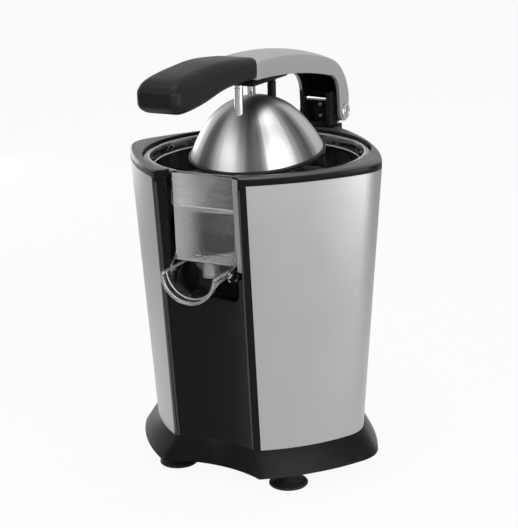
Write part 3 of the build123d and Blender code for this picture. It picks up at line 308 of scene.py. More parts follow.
class SurfaceGroups:
    """Shader node groups that several finishes share."""

    def __init__(self) -> None:
        """Build the groups once."""
        self.tone = self._tone_group()
        self.smudge = self._smudge_group()

    @staticmethod
    def _tone_group() -> Tree:
        """Group that varies a colour by a grain and gives the grain's height.

        Returns:
            The group.
        """
        graph, source, target = open_group(
            "grain_tone", "ShaderNodeTree",
            {"Vector": "Vector", "Colour": "Color", "Tone": "Float"}, {"Colour": "Color", "Height": "Float"},
        )
        grain = graph.noise(source.outputs["Vector"], scale=1.0, detail=4.0, rough=0.65)
        factor = graph.plus(graph.times(graph.swing(grain), source.outputs["Tone"]), 1.0)
        graph.feed(target, "Colour", graph.tint(source.outputs["Colour"], factor))
        graph.feed(target, "Height", grain)
        return graph.tree

    @staticmethod
    def _smudge_group() -> Tree:
        """Group that varies the gloss in broad soft patches.

        Returns:
            The group.
        """
        graph, source, target = open_group(
            "handled_gloss", "ShaderNodeTree",
            {"Vector": "Vector", "Roughness": "Float", "Spread": "Float"}, {"Roughness": "Float"},
        )
        patches = graph.swing(graph.noise(source.outputs["Vector"], scale=22.0, detail=3.0))
        offset = graph.times(patches, source.outputs["Spread"])
        graph.feed(target, "Roughness", graph.plus(source.outputs["Roughness"], offset))
        return graph.tree


class FinishShop:
    """Makes each finish into a material, once."""

    def __init__(self, dome_centre: Vector, dome_tilt: float) -> None:
        """Keep the shared groups and where turned pieces have their axis.

        Args:
            dome_centre: Middle of the dome's rim.
            dome_tilt: Lean of the dome's axis, in radians.
        """
        self.groups = SurfaceGroups()
        self.dome_centre = dome_centre
        self.dome_tilt = dome_tilt
        self.made: dict[str, Material] = {}

    def material(self, finish: Finish) -> Material:
        """Give back the material of a finish.

        Args:
            finish: The finish.

        Returns:
            Its material.
        """
        if finish.name not in self.made:
            self.made[finish.name] = self._make(finish)
        return self.made[finish.name]

    def _make(self, finish: Finish) -> Material:
        """Build the material of a finish.

        Args:
            finish: The finish.

        Returns:
            The new material.
        """
        material = bpy.data.materials.new(finish.name)
        graph = bare_graph(material)
        shader = graph.add(
            "ShaderNodeBsdfPrincipled", Metallic=finish.metallic, Roughness=finish.roughness,
            Specular_IOR_Level=finish.specular,
        )
        graph.add("ShaderNodeOutputMaterial", Surface=shader.outputs[0])
        spot = graph.add("ShaderNodeTexCoord").outputs["Object"]
        dress = {Texture.CLEAR: self._clear, Texture.REFLECTION_FILM: self._reflection_film}
        dress.get(finish.texture, self._opaque)(graph, shader, finish, spot)
        return material

    def _opaque(self, graph: Graph, shader: Node, finish: Finish, spot: Socket) -> None:
        """Finish of an opaque surface: a grain in its colour and relief, and a handled gloss.

        Args:
            graph: Tree of the material.
            shader: Principled shader.
            finish: The finish.
            spot: Object coordinates.
        """
        turned = finish.texture is Texture.TURNED
        local = self._about_dome(graph, spot) if turned else spot
        tone = graph.add(
            "ShaderNodeGroup", node_tree=self.groups.tone, Vector=self._grain(graph, finish, local),
            Colour=finish.paint, Tone=finish.tone,
        )
        colour = tone.outputs["Colour"]
        # A turned finish gets a painted reflection: light and dark sectors in its colour.
        graph.feed(shader, "Base Color", self._painted_dome_sectors(graph, local, colour) if turned else colour)
        smudge = graph.add(
            "ShaderNodeGroup", node_tree=self.groups.smudge, Vector=spot,
            Roughness=finish.roughness, Spread=finish.roughness * finish.smudge,
        )
        graph.feed(shader, "Roughness", smudge.outputs["Roughness"])
        if finish.relief:
            graph.feed(shader, "Normal", graph.bump(finish.relief, tone.outputs["Height"]))

    def _about_dome(self, graph: Graph, spot: Socket) -> Socket:
        """Coordinates about the dome's own axis."""
        shifted = graph.vectors("SUBTRACT", spot, in1=tuple(self.dome_centre)).outputs[0]
        return graph.add("ShaderNodeMapping", Vector=shifted, Rotation=(-self.dome_tilt, 0, 0)).outputs[0]

    @staticmethod
    def _grain(graph: Graph, finish: Finish, spot: Socket) -> Socket:
        """Coordinates of a finish's grain.

        Args:
            graph: Tree of the material.
            finish: The finish.
            spot: Object coordinates, or those about the dome.

        Returns:
            The grain's coordinates.
        """
        grain = finish.grain
        if finish.texture is Texture.BRUSHED:
            return graph.stretch(spot, (grain / BRUSH_LENGTH, grain / BRUSH_LENGTH, grain))
        if finish.texture is Texture.TURNED:
            reach = graph.length(graph.stretch(spot, FLAT))
            rings = graph.add("ShaderNodeCombineXYZ", X=reach, Y=graph.split(spot)[2])
            return graph.stretch(rings.outputs[0], (grain, grain, 1.0))
        return graph.stretch(spot, (grain, grain, grain))

    @staticmethod
    def _painted_dome_sectors(graph: Graph, local: Socket, colour: Socket) -> Socket:
        """Painted reflection: light and dark sectors of a spun dome.

        Args:
            graph: Tree of the material.
            local: Coordinates about the dome.
            colour: Colour to paint the reflection on.

        Returns:
            The colour with the painted reflection.
        """
        sheen = PaintedDomeReflection()
        x, y, _ = graph.split(local)
        turn = graph.times(graph.maths("ARCTAN2", y, x), sheen.sectors)
        phase = sheen.sectors * radians(sheen.start_angle)
        wave = graph.maths("COSINE", graph.plus(turn, phase))
        flat = graph.stretch(local, FLAT)
        outward = graph.vectors("NORMALIZE", flat).outputs[0]
        noise = graph.noise(outward, scale=9.0, detail=4.0, rough=0.6)
        mixed = graph.plus(wave, graph.swing(noise, sheen.ragged))
        ramp = graph.fade(mixed, *sheen.wave, *sheen.levels)
        away = graph.fade(graph.length(flat), *sheen.crown_radii, 0.0, 1.0)
        lift = graph.times(graph.minus(ramp, sheen.crown_level), away)
        return graph.tint(colour, graph.plus(lift, sheen.crown_level))

    @staticmethod
    def _clear(graph: Graph, shader: Node, finish: Finish, spot: Socket) -> None:
        """Finish of clear moulded plastic.

        Args:
            graph: Tree of the material.
            shader: Principled shader.
            finish: The finish.
            spot: Object coordinates.
        """
        graph.feed(shader, "Base Color", finish.paint)
        graph.feed(shader, "Transmission Weight", finish.tone)
        graph.feed(shader, "IOR", PLASTIC_IOR)
        ripple = graph.noise(spot, scale=60.0, detail=2.0)
        graph.feed(shader, "Normal", graph.bump(finish.relief, ripple))

    @staticmethod
    def _reflection_film(graph: Graph, shader: Node, finish: Finish, spot: Socket) -> None:
        """Pale film of painted reflection: denser to the left, above the step and along the foot.

        Args:
            graph: Tree of the material.
            shader: Principled shader.
            finish: The finish.
            spot: Object coordinates.
        """
        film = PaintedReflectionFilm()
        graph.feed(shader, "Base Color", finish.paint)
        x, _, z = graph.split(spot)
        # Painted reflection: the film is densest on the left and fades out to the right.
        side = graph.fade(x, *film.side_x, 1.0, 0.0)
        upper = graph.fade(z, *film.step_z, 0.0, 1.0)
        scratches = graph.noise(graph.stretch(spot, film.streak_scale), scale=1.0, detail=3.0)
        streaks = graph.times(graph.times(upper, scratches), film.streaks)
        lean = graph.minus(z, graph.times(x, film.foot_lean))
        lower = graph.fade(lean, *film.foot_z, 1.0, 0.0)
        drops = graph.noise(spot, film.drop_scale, detail=3.0)
        splash = graph.times(graph.times(lower, drops), film.splash)
        density = graph.plus(graph.times(side, finish.tone), graph.plus(streaks, splash))
        graph.feed(shader, "Alpha", density)


SOFT_GRIP = Finish("soft_touch_black", (0.007, 0.007, 0.0074), 0.42, specular=0.12, relief=0.05)
ARM_SILVER = Finish(
    "satin_silver_paint", (0.33, 0.33, 0.335), 0.42, Texture.PAINTED, metallic=0.5, tone=0.04,
    grain=2600,
)
WRAP_STEEL = Finish(
    "brushed_steel_sheet", (0.42, 0.42, 0.42), 0.32, Texture.BRUSHED, metallic=1.0, tone=0.10,
    relief=0.05, grain=2600,
)
STRAINER_STEEL = Finish(
    "strainer_steel", (0.26, 0.26, 0.265), 0.26, Texture.BRUSHED, metallic=1.0, tone=0.08,
    grain=1800,
)
# Spun dome steel; its turned texture carries the painted reflection sectors.
DOME_STEEL = Finish(
    "turned_steel", (0.52, 0.52, 0.52), 0.42, Texture.TURNED, metallic=1.0, tone=0.08, relief=0.04,
    grain=1900, smudge=0.04,
)
CAP_STEEL = Finish("cap_steel", (0.5, 0.5, 0.505), 0.3, Texture.BRUSHED, metallic=1.0, grain=3000)
BODY_BLACK = Finish("satin_black_plastic", (0.004, 0.004, 0.0044), 0.32, specular=0.08, relief=0.04)
COLLAR_BAND = Finish("collar_band_black", (0.004, 0.004, 0.0045), 0.3, specular=0.10, relief=0.03)
# The collar's top is satin; its colour, lighter than the band's, is painted sheen.
COLLAR_TOP_PAINTED_SHEEN = Finish("collar_top_painted_sheen", (0.038, 0.038, 0.0395), 0.36, specular=0.34, relief=0.04)
LIP_BLACK = Finish("lip_black", (0.007, 0.007, 0.0075), 0.4, specular=0.2, relief=0.03)
PANEL_BLACK = Finish(
    "gloss_black_panel", (0.004, 0.004, 0.0045), 0.2, Texture.GLOSSY, specular=0.10, relief=0.004,
    grain=60,
)
BEAD_BLACK = Finish("bead_black", (0.02, 0.02, 0.0205), 0.3, Texture.GLOSSY, relief=0.004, grain=60)
RUBBER = Finish("foot_rubber", (0.010, 0.010, 0.010), 0.62, specular=0.2, relief=0.08)
CHROME = Finish(
    "polished_chrome", (0.5, 0.5, 0.51), 0.09, Texture.POLISHED, metallic=1.0, tone=0.02, relief=0.0
)
CLEAR = Finish(
    "clear_plastic", (0.94, 0.945, 0.95), 0.03, Texture.CLEAR, specular=0.3, relief=0.004, tone=1.0
)
CLEAR_EDGE = Finish("clear_plastic_edge", (0.84, 0.85, 0.86), 0.10, Texture.CLEAR, relief=0.01, tone=0.66)
CLEAR_RIM = Finish("clear_plastic_rim", (0.9, 0.905, 0.91), 0.05, Texture.CLEAR, relief=0.004, tone=0.88)
# Pale sheet for the painted highlight on the channel's lit right flank.
CLEAR_PAINTED_HIGHLIGHT = Finish("clear_plastic_painted_highlight", (0.36, 0.365, 0.37), 0.2, Texture.CLEAR, relief=0.01, tone=0.3)
# Pale film of painted reflection on the collector's clear front.
FRONT_REFLECTION_FILM = Finish("clear_front_painted_reflection", (0.62, 0.625, 0.63), 0.35, Texture.REFLECTION_FILM, specular=0.3, tone=0.42)
REAMER_BLACK = Finish("reamer_plastic", (0.012, 0.012, 0.0125), 0.3, specular=0.3, relief=0.03)
CHASSIS = Finish("chassis_plastic", (0.014, 0.014, 0.0145), 0.5, specular=0.2, relief=0.06)
NYLON = Finish("gear_nylon", (0.74, 0.71, 0.63), 0.45, relief=0.03)
MACHINED = Finish(
    "machined_steel", (0.5, 0.5, 0.5), 0.3, Texture.BRUSHED, metallic=1.0, tone=0.06, grain=3200
)
BRASS = Finish(
    "bearing_brass", (0.62, 0.46, 0.19), 0.32, Texture.BRUSHED, metallic=1.0, tone=0.06, grain=3200
)
MOTOR_GREY = Finish("motor_paint", (0.3, 0.3, 0.31), 0.45, Texture.PAINTED, metallic=0.4, grain=2600)

FINISH_OF_SLOT = {
    "soft_black": SOFT_GRIP,
    "silver_paint": ARM_SILVER,
    "brushed_steel": WRAP_STEEL,
    "black_plastic": BODY_BLACK,
    "gloss_black": PANEL_BLACK,
    "rubber_black": RUBBER,
    "chrome": CHROME,
    "clear_plastic": CLEAR,
    "reamer_black": REAMER_BLACK,
    "chassis_grey": CHASSIS,
    "gear_nylon": NYLON,
    "machined_steel": MACHINED,
    "bearing_brass": BRASS,
    "motor_metal": MOTOR_GREY,
}


def shade(mesh: bpy.types.Mesh, angle: float = SHARP_ANGLE) -> None:
    """Shade a mesh smooth, apart from its sharp edges."""
    mesh.shade_smooth()
    mesh.set_sharp_from_angle(angle=radians(angle))


def link(name: str, data: bpy.types.ID) -> Piece:
    """Put an object in the scene, at the origin.

    Args:
        name: Object name.
        data: Its mesh, camera or lamp.

    Returns:
        The object.
    """
    piece = bpy.data.objects.new(name, data)
    bpy.context.scene.collection.objects.link(piece)
    return piece


def new_piece(name: str, shape: Shape, angle: float = SHARP_ANGLE) -> Piece:
    """Turn a shape into an object of the scene.

    Args:
        name: Object name.
        shape: Shape in place, which is freed.
        angle: Least angle of an edge that stays sharp, in degrees.

    Returns:
        The object.
    """
    mesh = bpy.data.meshes.new(name)
    bmesh.ops.recalc_face_normals(shape, faces=shape.faces)
    shape.to_mesh(mesh)
    shape.free()
    shade(mesh, angle)
    return link(name, mesh)


def merged_copy(node: str) -> Shape:
    """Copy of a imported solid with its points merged.

    Args:
        node: Node name.

    Returns:
        The copy.
    """
    shape = bmesh.new()
    shape.from_mesh(NODES[node].data)
    bmesh.ops.remove_doubles(shape, verts=shape.verts, dist=MERGE)
    return shape


def upright(node: str) -> Matrix:
    """Place of an upright axis through the middle of a node."""
    low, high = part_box(node)
    return Matrix.Translation(((low[0] + high[0]) / 2, (low[1] + high[1]) / 2, 0.0))


def join_rings(shape: Shape, rings: list[list[Vert]]) -> None:
    """Join closed rings one after another with faces, where a ring of one point is a pole.

    Args:
        shape: Mesh that holds the rings.
        rings: Rings of equal length, or of one point.
    """
    for low, high in zip(rings, rings[1:]):
        count = max(len(low), len(high))
        for step in range(count):
            after = (step + 1) % count
            corners = [low[step % len(low)], low[after % len(low)]]
            corners += [high[after % len(high)], high[step % len(high)]]
            unique = list(dict.fromkeys(corners))
            if len(unique) > 2:
                shape.faces.new(unique)


def ring(shape: Shape, spot: Pair, steps: int, matrix: Matrix = Matrix()) -> list[Vert]:
    """Add a circle of points round the Z axis, or one point on it.

    Args:
        shape: Mesh to add to.
        spot: Radius and height in millimetres.
        steps: Parts of a turn.
        matrix: Place of the axis, in metres.

    Returns:
        The points.
    """
    radius, height = spot[0] * MM, spot[1] * MM
    turn = spread(0.0, 2 * pi, steps)[:-1] if spot[0] > AXIS else [0.0]
    points = [Vector((radius * cos(a), radius * sin(a), height)) for a in turn]
    return [shape.verts.new(matrix @ point) for point in points]


def lathe(profile: list[Pair], steps: int, matrix: Matrix, shape: Shape | None = None) -> Shape:
    """Turn a profile of radius and height, in millimetres, round the Z axis.

    Args:
        profile: Points from one end to the other; one that ends where it starts is closed.
        steps: Parts of a turn.
        matrix: Place of the axis, in metres.
        shape: Mesh to add to, or none for a new one.

    Returns:
        The placed shape.
    """
    shape = shape or bmesh.new()
    closed = profile[0] == profile[-1]
    rings = [ring(shape, spot, steps, matrix) for spot in (profile[:-1] if closed else profile)]
    join_rings(shape, rings + rings[:1] if closed else rings)
    return shape


def skin(loops: list[list[Vector]], shape: Shape | None = None) -> Shape:
    """Join closed loops of equal length one after another and cap both ends.

    Args:
        loops: Loops of points in metres.
        shape: Mesh to add to, or none for a new one.

    Returns:
        The closed shape.
    """
    shape = shape or bmesh.new()
    rings = [[shape.verts.new(point) for point in loop] for loop in loops]
    join_rings(shape, rings)
    shape.faces.new(rings[0])
    shape.faces.new(rings[-1])
    return shape


def bead(path: list[Vector], radius: float, shape: Shape | None = None, sides: int = 12) -> Shape:
    """Round bar along a path.

    Args:
        path: Points in metres.
        radius: Radius in millimetres.
        shape: Mesh to add to, or none for a new one.
        sides: Faces round the bar.

    Returns:
        The closed shape.
    """
    loops = []
    across = None
    for before, point, after in zip(path[:1] + path, path, path[1:] + path[-1:]):
        along = (after - before).normalized()
        if across is None:
            across = along.orthogonal()
        across = (across - along * across.dot(along)).normalized()
        up = along.cross(across)
        turn = spread(0.0, 2 * pi, sides)[:-1]
        loops.append([point + (across * cos(a) + up * sin(a)) * radius * MM for a in turn])
    return skin(loops, shape)


def islands(node: str) -> list[tuple[Vector, Vector]]:
    """Lowest and highest corners of each solid of a node.

    Args:
        node: Node name.

    Returns:
        One pair of corners for each solid.
    """
    shape = merged_copy(node)
    left = set(shape.verts)
    found = []
    while left:
        heap = [left.pop()]
        points = []
        while heap:
            vert = heap.pop()
            points.append(vert.co.copy())
            for edge in vert.link_edges:
                other = edge.other_vert(vert)
                if other in left:
                    left.remove(other)
                    heap.append(other)
        low = Vector([min(point[axis] for point in points) for axis in range(3)])
        high = Vector([max(point[axis] for point in points) for axis in range(3)])
        found.append((low, high))
    shape.free()
    return sorted(found, key=lambda pair: tuple(pair[0]))


class Channel:
    """Face of the front panel and of the collar over it, found from the front."""

    start_y: float = -150.0

    def __init__(self) -> None:
        """Keep the faces of both."""
        points, faces = [], []
        for node in ("front_panel", "top_collar"):
            mesh = NODES[node].data
            faces += [[len(points) + corner for corner in face.vertices] for face in mesh.polygons]
            points += [vert.co.copy() for vert in mesh.vertices]
        self.faces = BVHTree.FromPolygons(points, faces)

    def spot(self, x: float, z: float, proud: float = 0.0) -> Vector:
        """Point on the face, in metres, or in front of it by a distance in millimetres."""
        hit = self.faces.ray_cast(place(x, self.start_y, z), Vector((0.0, 1.0, 0.0)))[0]
        return hit - Vector((0.0, proud * MM, 0.0))


@dataclass
class Workshop:
    """Puts finishes on pieces and ties them to the frame."""

    shop: FinishShop
    done: list[str] = field(default_factory=list)

    def coat(self, piece: Piece, finish: Finish) -> None:
        """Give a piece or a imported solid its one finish."""
        piece.data.materials.clear()
        piece.data.materials.append(self.shop.material(finish))

    def second_finish(self, piece: Piece, finish: Finish, chosen: Callable[[Face], bool]) -> None:
        """Give some faces of a piece another finish.

        Args:
            piece: The piece.
            finish: The other finish.
            chosen: Says whether a face takes it.
        """
        piece.data.materials.append(self.shop.material(finish))
        for face in piece.data.polygons:
            face.material_index = int(chosen(face))

    def report(self, piece: Piece, where: str) -> None:
        """Count and log a finished piece."""
        self.done.append(piece.name)
        LOG.info("piece %s %s", piece.name, where)

    def fit(self, piece: Piece, finish: Finish, body: str, slot: str, *stands_for: str) -> Piece:
        """Finish a piece, tie it to its body and hide the nodes that it stands for.

        Args:
            piece: The piece, in place.
            finish: Its finish.
            body: Body it rides on.
            slot: Material slot of the record; not used.
            stands_for: Nodes it stands for.

        Returns:
            The piece.
        """
        self.coat(piece, finish)
        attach(piece, body)
        if stands_for:
            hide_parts(*stands_for)
        self.report(piece, f"on {body}")
        return piece

    def replace(self, piece: Piece, finish: Finish, node: str) -> Piece:
        """Fit a piece on the body of the node that it stands for."""
        return self.fit(piece, finish, BODY_OF_NODE[node], SLOT_OF_NODE[node], node)

    def soften(self, node: str, finish: Finish, width: float, steps: int = 2, angle: float = 32.0) -> Piece:
        """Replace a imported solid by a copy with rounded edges.

        Args:
            node: Node to copy.
            finish: Its finish.
            width: Width of the rounding in millimetres.
            steps: Faces across the rounding.
            angle: Least angle of an edge that is rounded, in degrees.

        Returns:
            The new piece.
        """
        shape = merged_copy(node)
        bmesh.ops.dissolve_limit(shape, angle_limit=radians(FLAT_ANGLE), verts=shape.verts, edges=shape.edges)
        shared = [edge for edge in shape.edges if len(edge.link_faces) == 2]
        sharp = [edge for edge in shared if edge.calc_face_angle(0.0) > radians(angle)]
        bmesh.ops.bevel(
            shape, geom=sharp, offset=width * MM, offset_type="OFFSET", segments=steps, profile=0.5,
            affect="EDGES", clamp_overlap=True,
        )
        return self.replace(new_piece(f"{node}_shell", shape), finish, node)


class Outward(Enum):
    """Way that a screw's head looks, as turns about X, Y and Z."""

    UP = (0.0, 0.0, 0.0)
    DOWN = (pi, 0.0, 0.0)
    FRONT = (pi / 2, 0.0, 0.0)


@dataclass
class ScrewKit:
    """Cross-head screws set on points by one Geometry Nodes tree."""

    workshop: Workshop
    head_radius: float = 3.2
    head_height: float = 1.6
    head_taper: float = 0.82
    head_sides: int = 28
    slot_sides: Pair = (1.1, 0.26)
    slot_depth: float = 1.2
    shank_radius: float = 1.7
    shank_sides: int = 16

    def __post_init__(self) -> None:
        """Build the tree once."""
        self.tree = self._tree()

    @staticmethod
    def _lift(graph: Graph, part: Node, z: Socket) -> Socket:
        """Geometry of a part, moved along Z."""
        up = graph.add("ShaderNodeCombineXYZ", Z=z).outputs[0]
        return graph.add("GeometryNodeTransform", Geometry=part.outputs[0], Translation=up).outputs[0]

    def _head(self, graph: Graph, radius: Socket, height: Socket, low: Socket) -> Socket:
        """Head with a cross cut in it.

        Args:
            graph: Tree to add to.
            radius: Radius of the head.
            height: Height of the head.
            low: Where the head's foot is.

        Returns:
            Its geometry.
        """
        cone = graph.add(
            "GeometryNodeMeshCone", Vertices=self.head_sides, Radius_Bottom=radius, Depth=height,
            Radius_Top=graph.times(radius, self.head_taper),
        )
        cross = graph.add("GeometryNodeJoinGeometry")
        for width, depth in (self.slot_sides, self.slot_sides[::-1]):
            size = graph.add(
                "ShaderNodeCombineXYZ", X=graph.times(radius, width), Y=graph.times(radius, depth),
                Z=graph.times(height, self.slot_depth),
            )
            arm = graph.add("GeometryNodeMeshCube", Size=size.outputs[0])
            graph.feed(cross, 0, arm.outputs[0])
        cut = graph.add(
            "GeometryNodeMeshBoolean", operation="DIFFERENCE",
            Mesh_1=self._lift(graph, cone, low), Mesh_2=cross.outputs[0],
        )
        return cut.outputs[0]

    def _tree(self) -> Tree:
        """Build the tree that makes one screw and puts it on each point.

        Returns:
            The tree.
        """
        sizes = ("Head radius", "Head height", "Shank radius", "Shank length")
        sockets = {"Geometry": "Geometry", **dict.fromkeys(sizes, "Float")}
        sockets |= {"Turn": "Vector", "Material": "Material"}
        graph, source, target = open_group(
            "cross_head_screws", "GeometryNodeTree", sockets, {"Geometry": "Geometry"}
        )
        radius, height, shank_radius, length = (source.outputs[size] for size in sizes)
        low = graph.times(height, -1.0)
        shank = graph.add(
            "GeometryNodeMeshCylinder", Vertices=self.shank_sides, Radius=shank_radius, Depth=length
        )
        middle = graph.minus(low, graph.times(length, 0.5))
        screw = graph.add("GeometryNodeJoinGeometry")
        graph.feed(screw, 0, self._head(graph, radius, height, low))
        graph.feed(screw, 0, self._lift(graph, shank, middle))
        turn = graph.add("FunctionNodeEulerToRotation", Euler=source.outputs["Turn"])
        spots = graph.add(
            "GeometryNodeInstanceOnPoints", Points=source.outputs["Geometry"],
            Instance=screw.outputs[0], Rotation=turn.outputs[0],
        )
        whole = graph.add("GeometryNodeRealizeInstances", Geometry=spots.outputs[0])
        dressed = graph.add(
            "GeometryNodeSetMaterial", Geometry=whole.outputs[0],
            Material=source.outputs["Material"],
        )
        graph.feed(target, "Geometry", dressed.outputs[0])
        return graph.tree

    def set_on(self, node: str, outward: Outward, share: float = 1.0) -> None:
        """Replace a node of screws.

        Args:
            node: Node whose solids are the screws.
            outward: Way that the heads look.
        """
        spots, length = [], 0.0
        for low, high in islands(node):
            middle = (low + high) / 2
            if outward is Outward.FRONT:
                spots.append((middle.x, low.y, middle.z))
                length = high.y - low.y
            else:
                spots.append((middle.x, middle.y, high.z if outward is Outward.UP else low.z))
                length = high.z - low.z
        mesh = bpy.data.meshes.new(f"{node}_spots")
        mesh.from_pydata(spots, [], [])
        maker = link(f"{node}_spots", mesh)
        modifier = maker.modifiers.new("screws", "NODES")
        modifier.node_group = self.tree
        head = self.head_height * share * MM
        values = {
            "Head radius": self.head_radius * share * MM,
            "Head height": head,
            "Shank radius": self.shank_radius * share * MM,
            "Shank length": length - head,
            "Turn": outward.value,
            "Material": self.workshop.shop.material(MACHINED),
        }
        for item in self.tree.interface.items_tree:
            if item.in_out == "INPUT" and item.name in values:
                modifier[item.identifier] = values[item.name]
        view = bpy.context.evaluated_depsgraph_get()
        result = bpy.data.meshes.new_from_object(maker.evaluated_get(view))
        bpy.data.objects.remove(maker)
        shade(result)
        self.workshop.replace(link(f"{node}_set", result), MACHINED, node)


@dataclass
class Assembly:
    """Pieces that belong together, made in one workshop."""

    workshop: Workshop

    def put(self, name: str, shape: Shape, finish: Finish, body: str, slot: str = "clear_plastic") -> None:
        """Make and fit a piece that stands for no node."""
        self.workshop.fit(new_piece(name, shape), finish, body, slot)


@dataclass
class PressDome(Assembly):
    """Spun steel dome with a rolled rim, on a soft lip, and its rods."""

    radius: float = 48.8
    height: float = 40.5
    crown_radius: float = 44.0
    crown_angle: float = 48.0
    sheet: float = 1.0
    roll_radius: float = 0.5
    roll_lift: float = 0.15
    roll_angles: tuple[float, ...] = (0.0, -0.8, -1.57, -2.3, -3.14)
    lip_radius: float = 50.7
    lip_height: float = 3.0
    lip_edge: float = 1.1
    lip_seat: float = 0.1
    centre: Point = (0.0, 0.4, 237.2)
    tilt: float = 8.0
    steps: int = 160
    parts: int = 12
    rod_edge: float = 0.3
    groove: float = 0.45
    groove_drops: tuple[float, ...] = (2.4, 2.1, 1.6, 1.3)
    rod_steps: int = 40

    def matrix(self) -> Matrix:
        """Place of the dome's axis in the frame."""
        tilt = Matrix.Rotation(radians(self.tilt), 4, "X")
        return Matrix.Translation(place(*self.centre)) @ tilt

    def _wall(self, inset: float) -> list[Pair]:
        """Half profile from the top to the rim, drawn in by a wall.

        Args:
            inset: Distance inside the outer face.

        Returns:
            Points of radius and height.
        """
        turn = radians(self.crown_angle)
        middle = self.height - self.crown_radius
        reach = self.crown_radius - inset
        crown = spread(0.0, turn, self.parts)
        points = [(reach * sin(a), middle + reach * cos(a)) for a in crown]
        start = (self.crown_radius * sin(turn), middle + self.crown_radius * cos(turn))
        run = (start[0] - self.radius, start[1])
        across = -run[0] * sin(turn) - run[1] * cos(turn)
        bend = -(run[0] ** 2 + run[1] ** 2) / (2 * across)
        x, z = start[0] - bend * sin(turn), start[1] - bend * cos(turn)
        side = spread(turn, atan2(self.radius - x, -z), self.parts)[1:]
        reach = bend - inset
        return points + [(x + reach * sin(a), z + reach * cos(a)) for a in side]

    def build(self) -> None:
        """Make the dome, its lip and the rods."""
        outer, inner = self._wall(0.0), self._wall(self.sheet)
        middle, bar = (outer[-1][0] + inner[-1][0]) / 2, self.roll_radius
        roll = [(middle + bar * cos(a), self.roll_lift + bar * sin(a)) for a in self.roll_angles]
        profile = outer[:-1] + roll + inner[-2::-1]
        dome = new_piece("press_dome_spun", lathe(profile, self.steps, self.matrix()))
        self.workshop.replace(dome, DOME_STEEL, "press_dome")
        self._lip()
        for node in ("press_rod_front", "press_rod_rear_left"):
            self._rod(node, CHROME)
        self._rod("press_rod_rear_right", BODY_BLACK)

    def _lip(self) -> None:
        """Make the soft lip under the dome's rim."""
        edge, inside = self.lip_edge, self.radius - 2 * self.sheet
        near, far, low = inside + edge, self.lip_radius - edge, edge - self.lip_height
        lip = []
        for x, z, start in ((near, low, -pi), (far, low, -pi / 2), (far, -edge, 0.0)):
            lip += quarter(x, z, edge, start, parts=5)
        lip += [(self.radius + self.lip_seat, -TOUCH), (inside, -TOUCH), lip[0]]
        shape = lathe(lip, self.steps, self.matrix())
        self.workshop.replace(new_piece("dome_lip_soft", shape), LIP_BLACK, "dome_lip")

    def _rod(self, node: str, finish: Finish) -> Piece:
        """Replace a rod by one with a turned shoulder at its top.

        Args:
            node: Rod to replace.
            finish: Its finish.

        Returns:
            The new piece.
        """
        low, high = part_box(node)
        radius = (high[0] - low[0]) / 2 / MM
        bottom, top = low[2] / MM, high[2] / MM
        neck, edge = radius - self.groove, self.rod_edge
        profile = [(0.0, bottom), (radius - edge, bottom), (radius, bottom + edge)]
        widths = (radius, neck, neck, radius)
        profile += [(width, top - drop) for width, drop in zip(widths, self.groove_drops)]
        profile += [(radius, top), (0.0, top)]
        rod = new_piece(f"{node}_turned", lathe(profile, self.rod_steps, upright(node)))
        return self.workshop.replace(rod, finish, node)


@dataclass
class Reamer(Assembly):
    """Ribbed cone that the fruit is pressed on."""

    base_z: float = 214.0
    radius: float = 35.0
    rim: float = 3.0
    height: float = 50.0
    mid_radius: float = 20.5
    mid_height: float = 31.0
    rib: float = 2.4
    rib_half: float = 2.1
    rib_rise: float = 0.25
    rib_least: float = 3.0
    ribs: int = 10
    wall: float = 2.6
    edge: float = 0.5
    hub_radius: float = 8.0
    hub_z: float = 222.0
    cavity_z: float = 246.0
    steps: int = 240
    levels: int = 36
    sharp_angle: float = 50.0

    def _side(self, share: float) -> Pair:
        """Point of the plain cone.

        Args:
            share: From 0 at the rim to 1 at the tip.

        Returns:
            Its radius and height.
        """
        first, last = (self.radius, self.rim), (0.0, self.height)
        middle = (self.mid_radius, self.mid_height)
        pull = [2 * middle[i] - (first[i] + last[i]) / 2 for i in (0, 1)]
        a, b, c = (1 - share) ** 2, 2 * (1 - share) * share, share * share
        return tuple(first[i] * a + pull[i] * b + last[i] * c for i in (0, 1))

    def _level(self, shape: Shape, share: float) -> list[Vert]:
        """Add a ring of the ribbed cone.

        Args:
            shape: Mesh to add to.
            share: From 0 at the rim to 1 at the tip.

        Returns:
            The ring's points.
        """
        radius, height = self._side(share)
        fade = min(1.0, share / self.rib_rise)
        arc = 2 * pi / self.ribs * max(radius, self.rib_least)
        points = []
        for angle in spread(0.0, 2 * pi, self.steps)[:-1]:
            away = abs((angle * self.ribs / (2 * pi) + 0.5) % 1.0 - 0.5) * arc
            lift = self.rib * fade * max(0.0, 1.0 - (away / self.rib_half) ** 2)
            reach, z = (radius + lift) * MM, (self.base_z + height + lift / 2) * MM
            points.append(shape.verts.new((reach * cos(angle), reach * sin(angle), z)))
        return points

    def build(self) -> None:
        """Make the reamer from its rule."""
        shape = bmesh.new()
        below = [
            (0.0, self.hub_z), (self.hub_radius, self.hub_z), (self.hub_radius, self.cavity_z),
            (self.radius - self.wall, self.base_z), (self.radius - self.edge, self.base_z),
            (self.radius, self.base_z + self.edge),
        ]
        rings = [ring(shape, spot, self.steps) for spot in below]
        rings += [self._level(shape, level / self.levels) for level in range(self.levels)]
        rings.append(ring(shape, (0.0, self.base_z + self.height + self.rib), self.steps))
        join_rings(shape, rings)
        axis = Matrix.Translation(place(0, 0, 0))
        bmesh.ops.transform(shape, matrix=axis, verts=shape.verts)
        cone = new_piece("reamer_ribbed", shape, self.sharp_angle)
        self.workshop.replace(cone, REAMER_BLACK, "reamer")


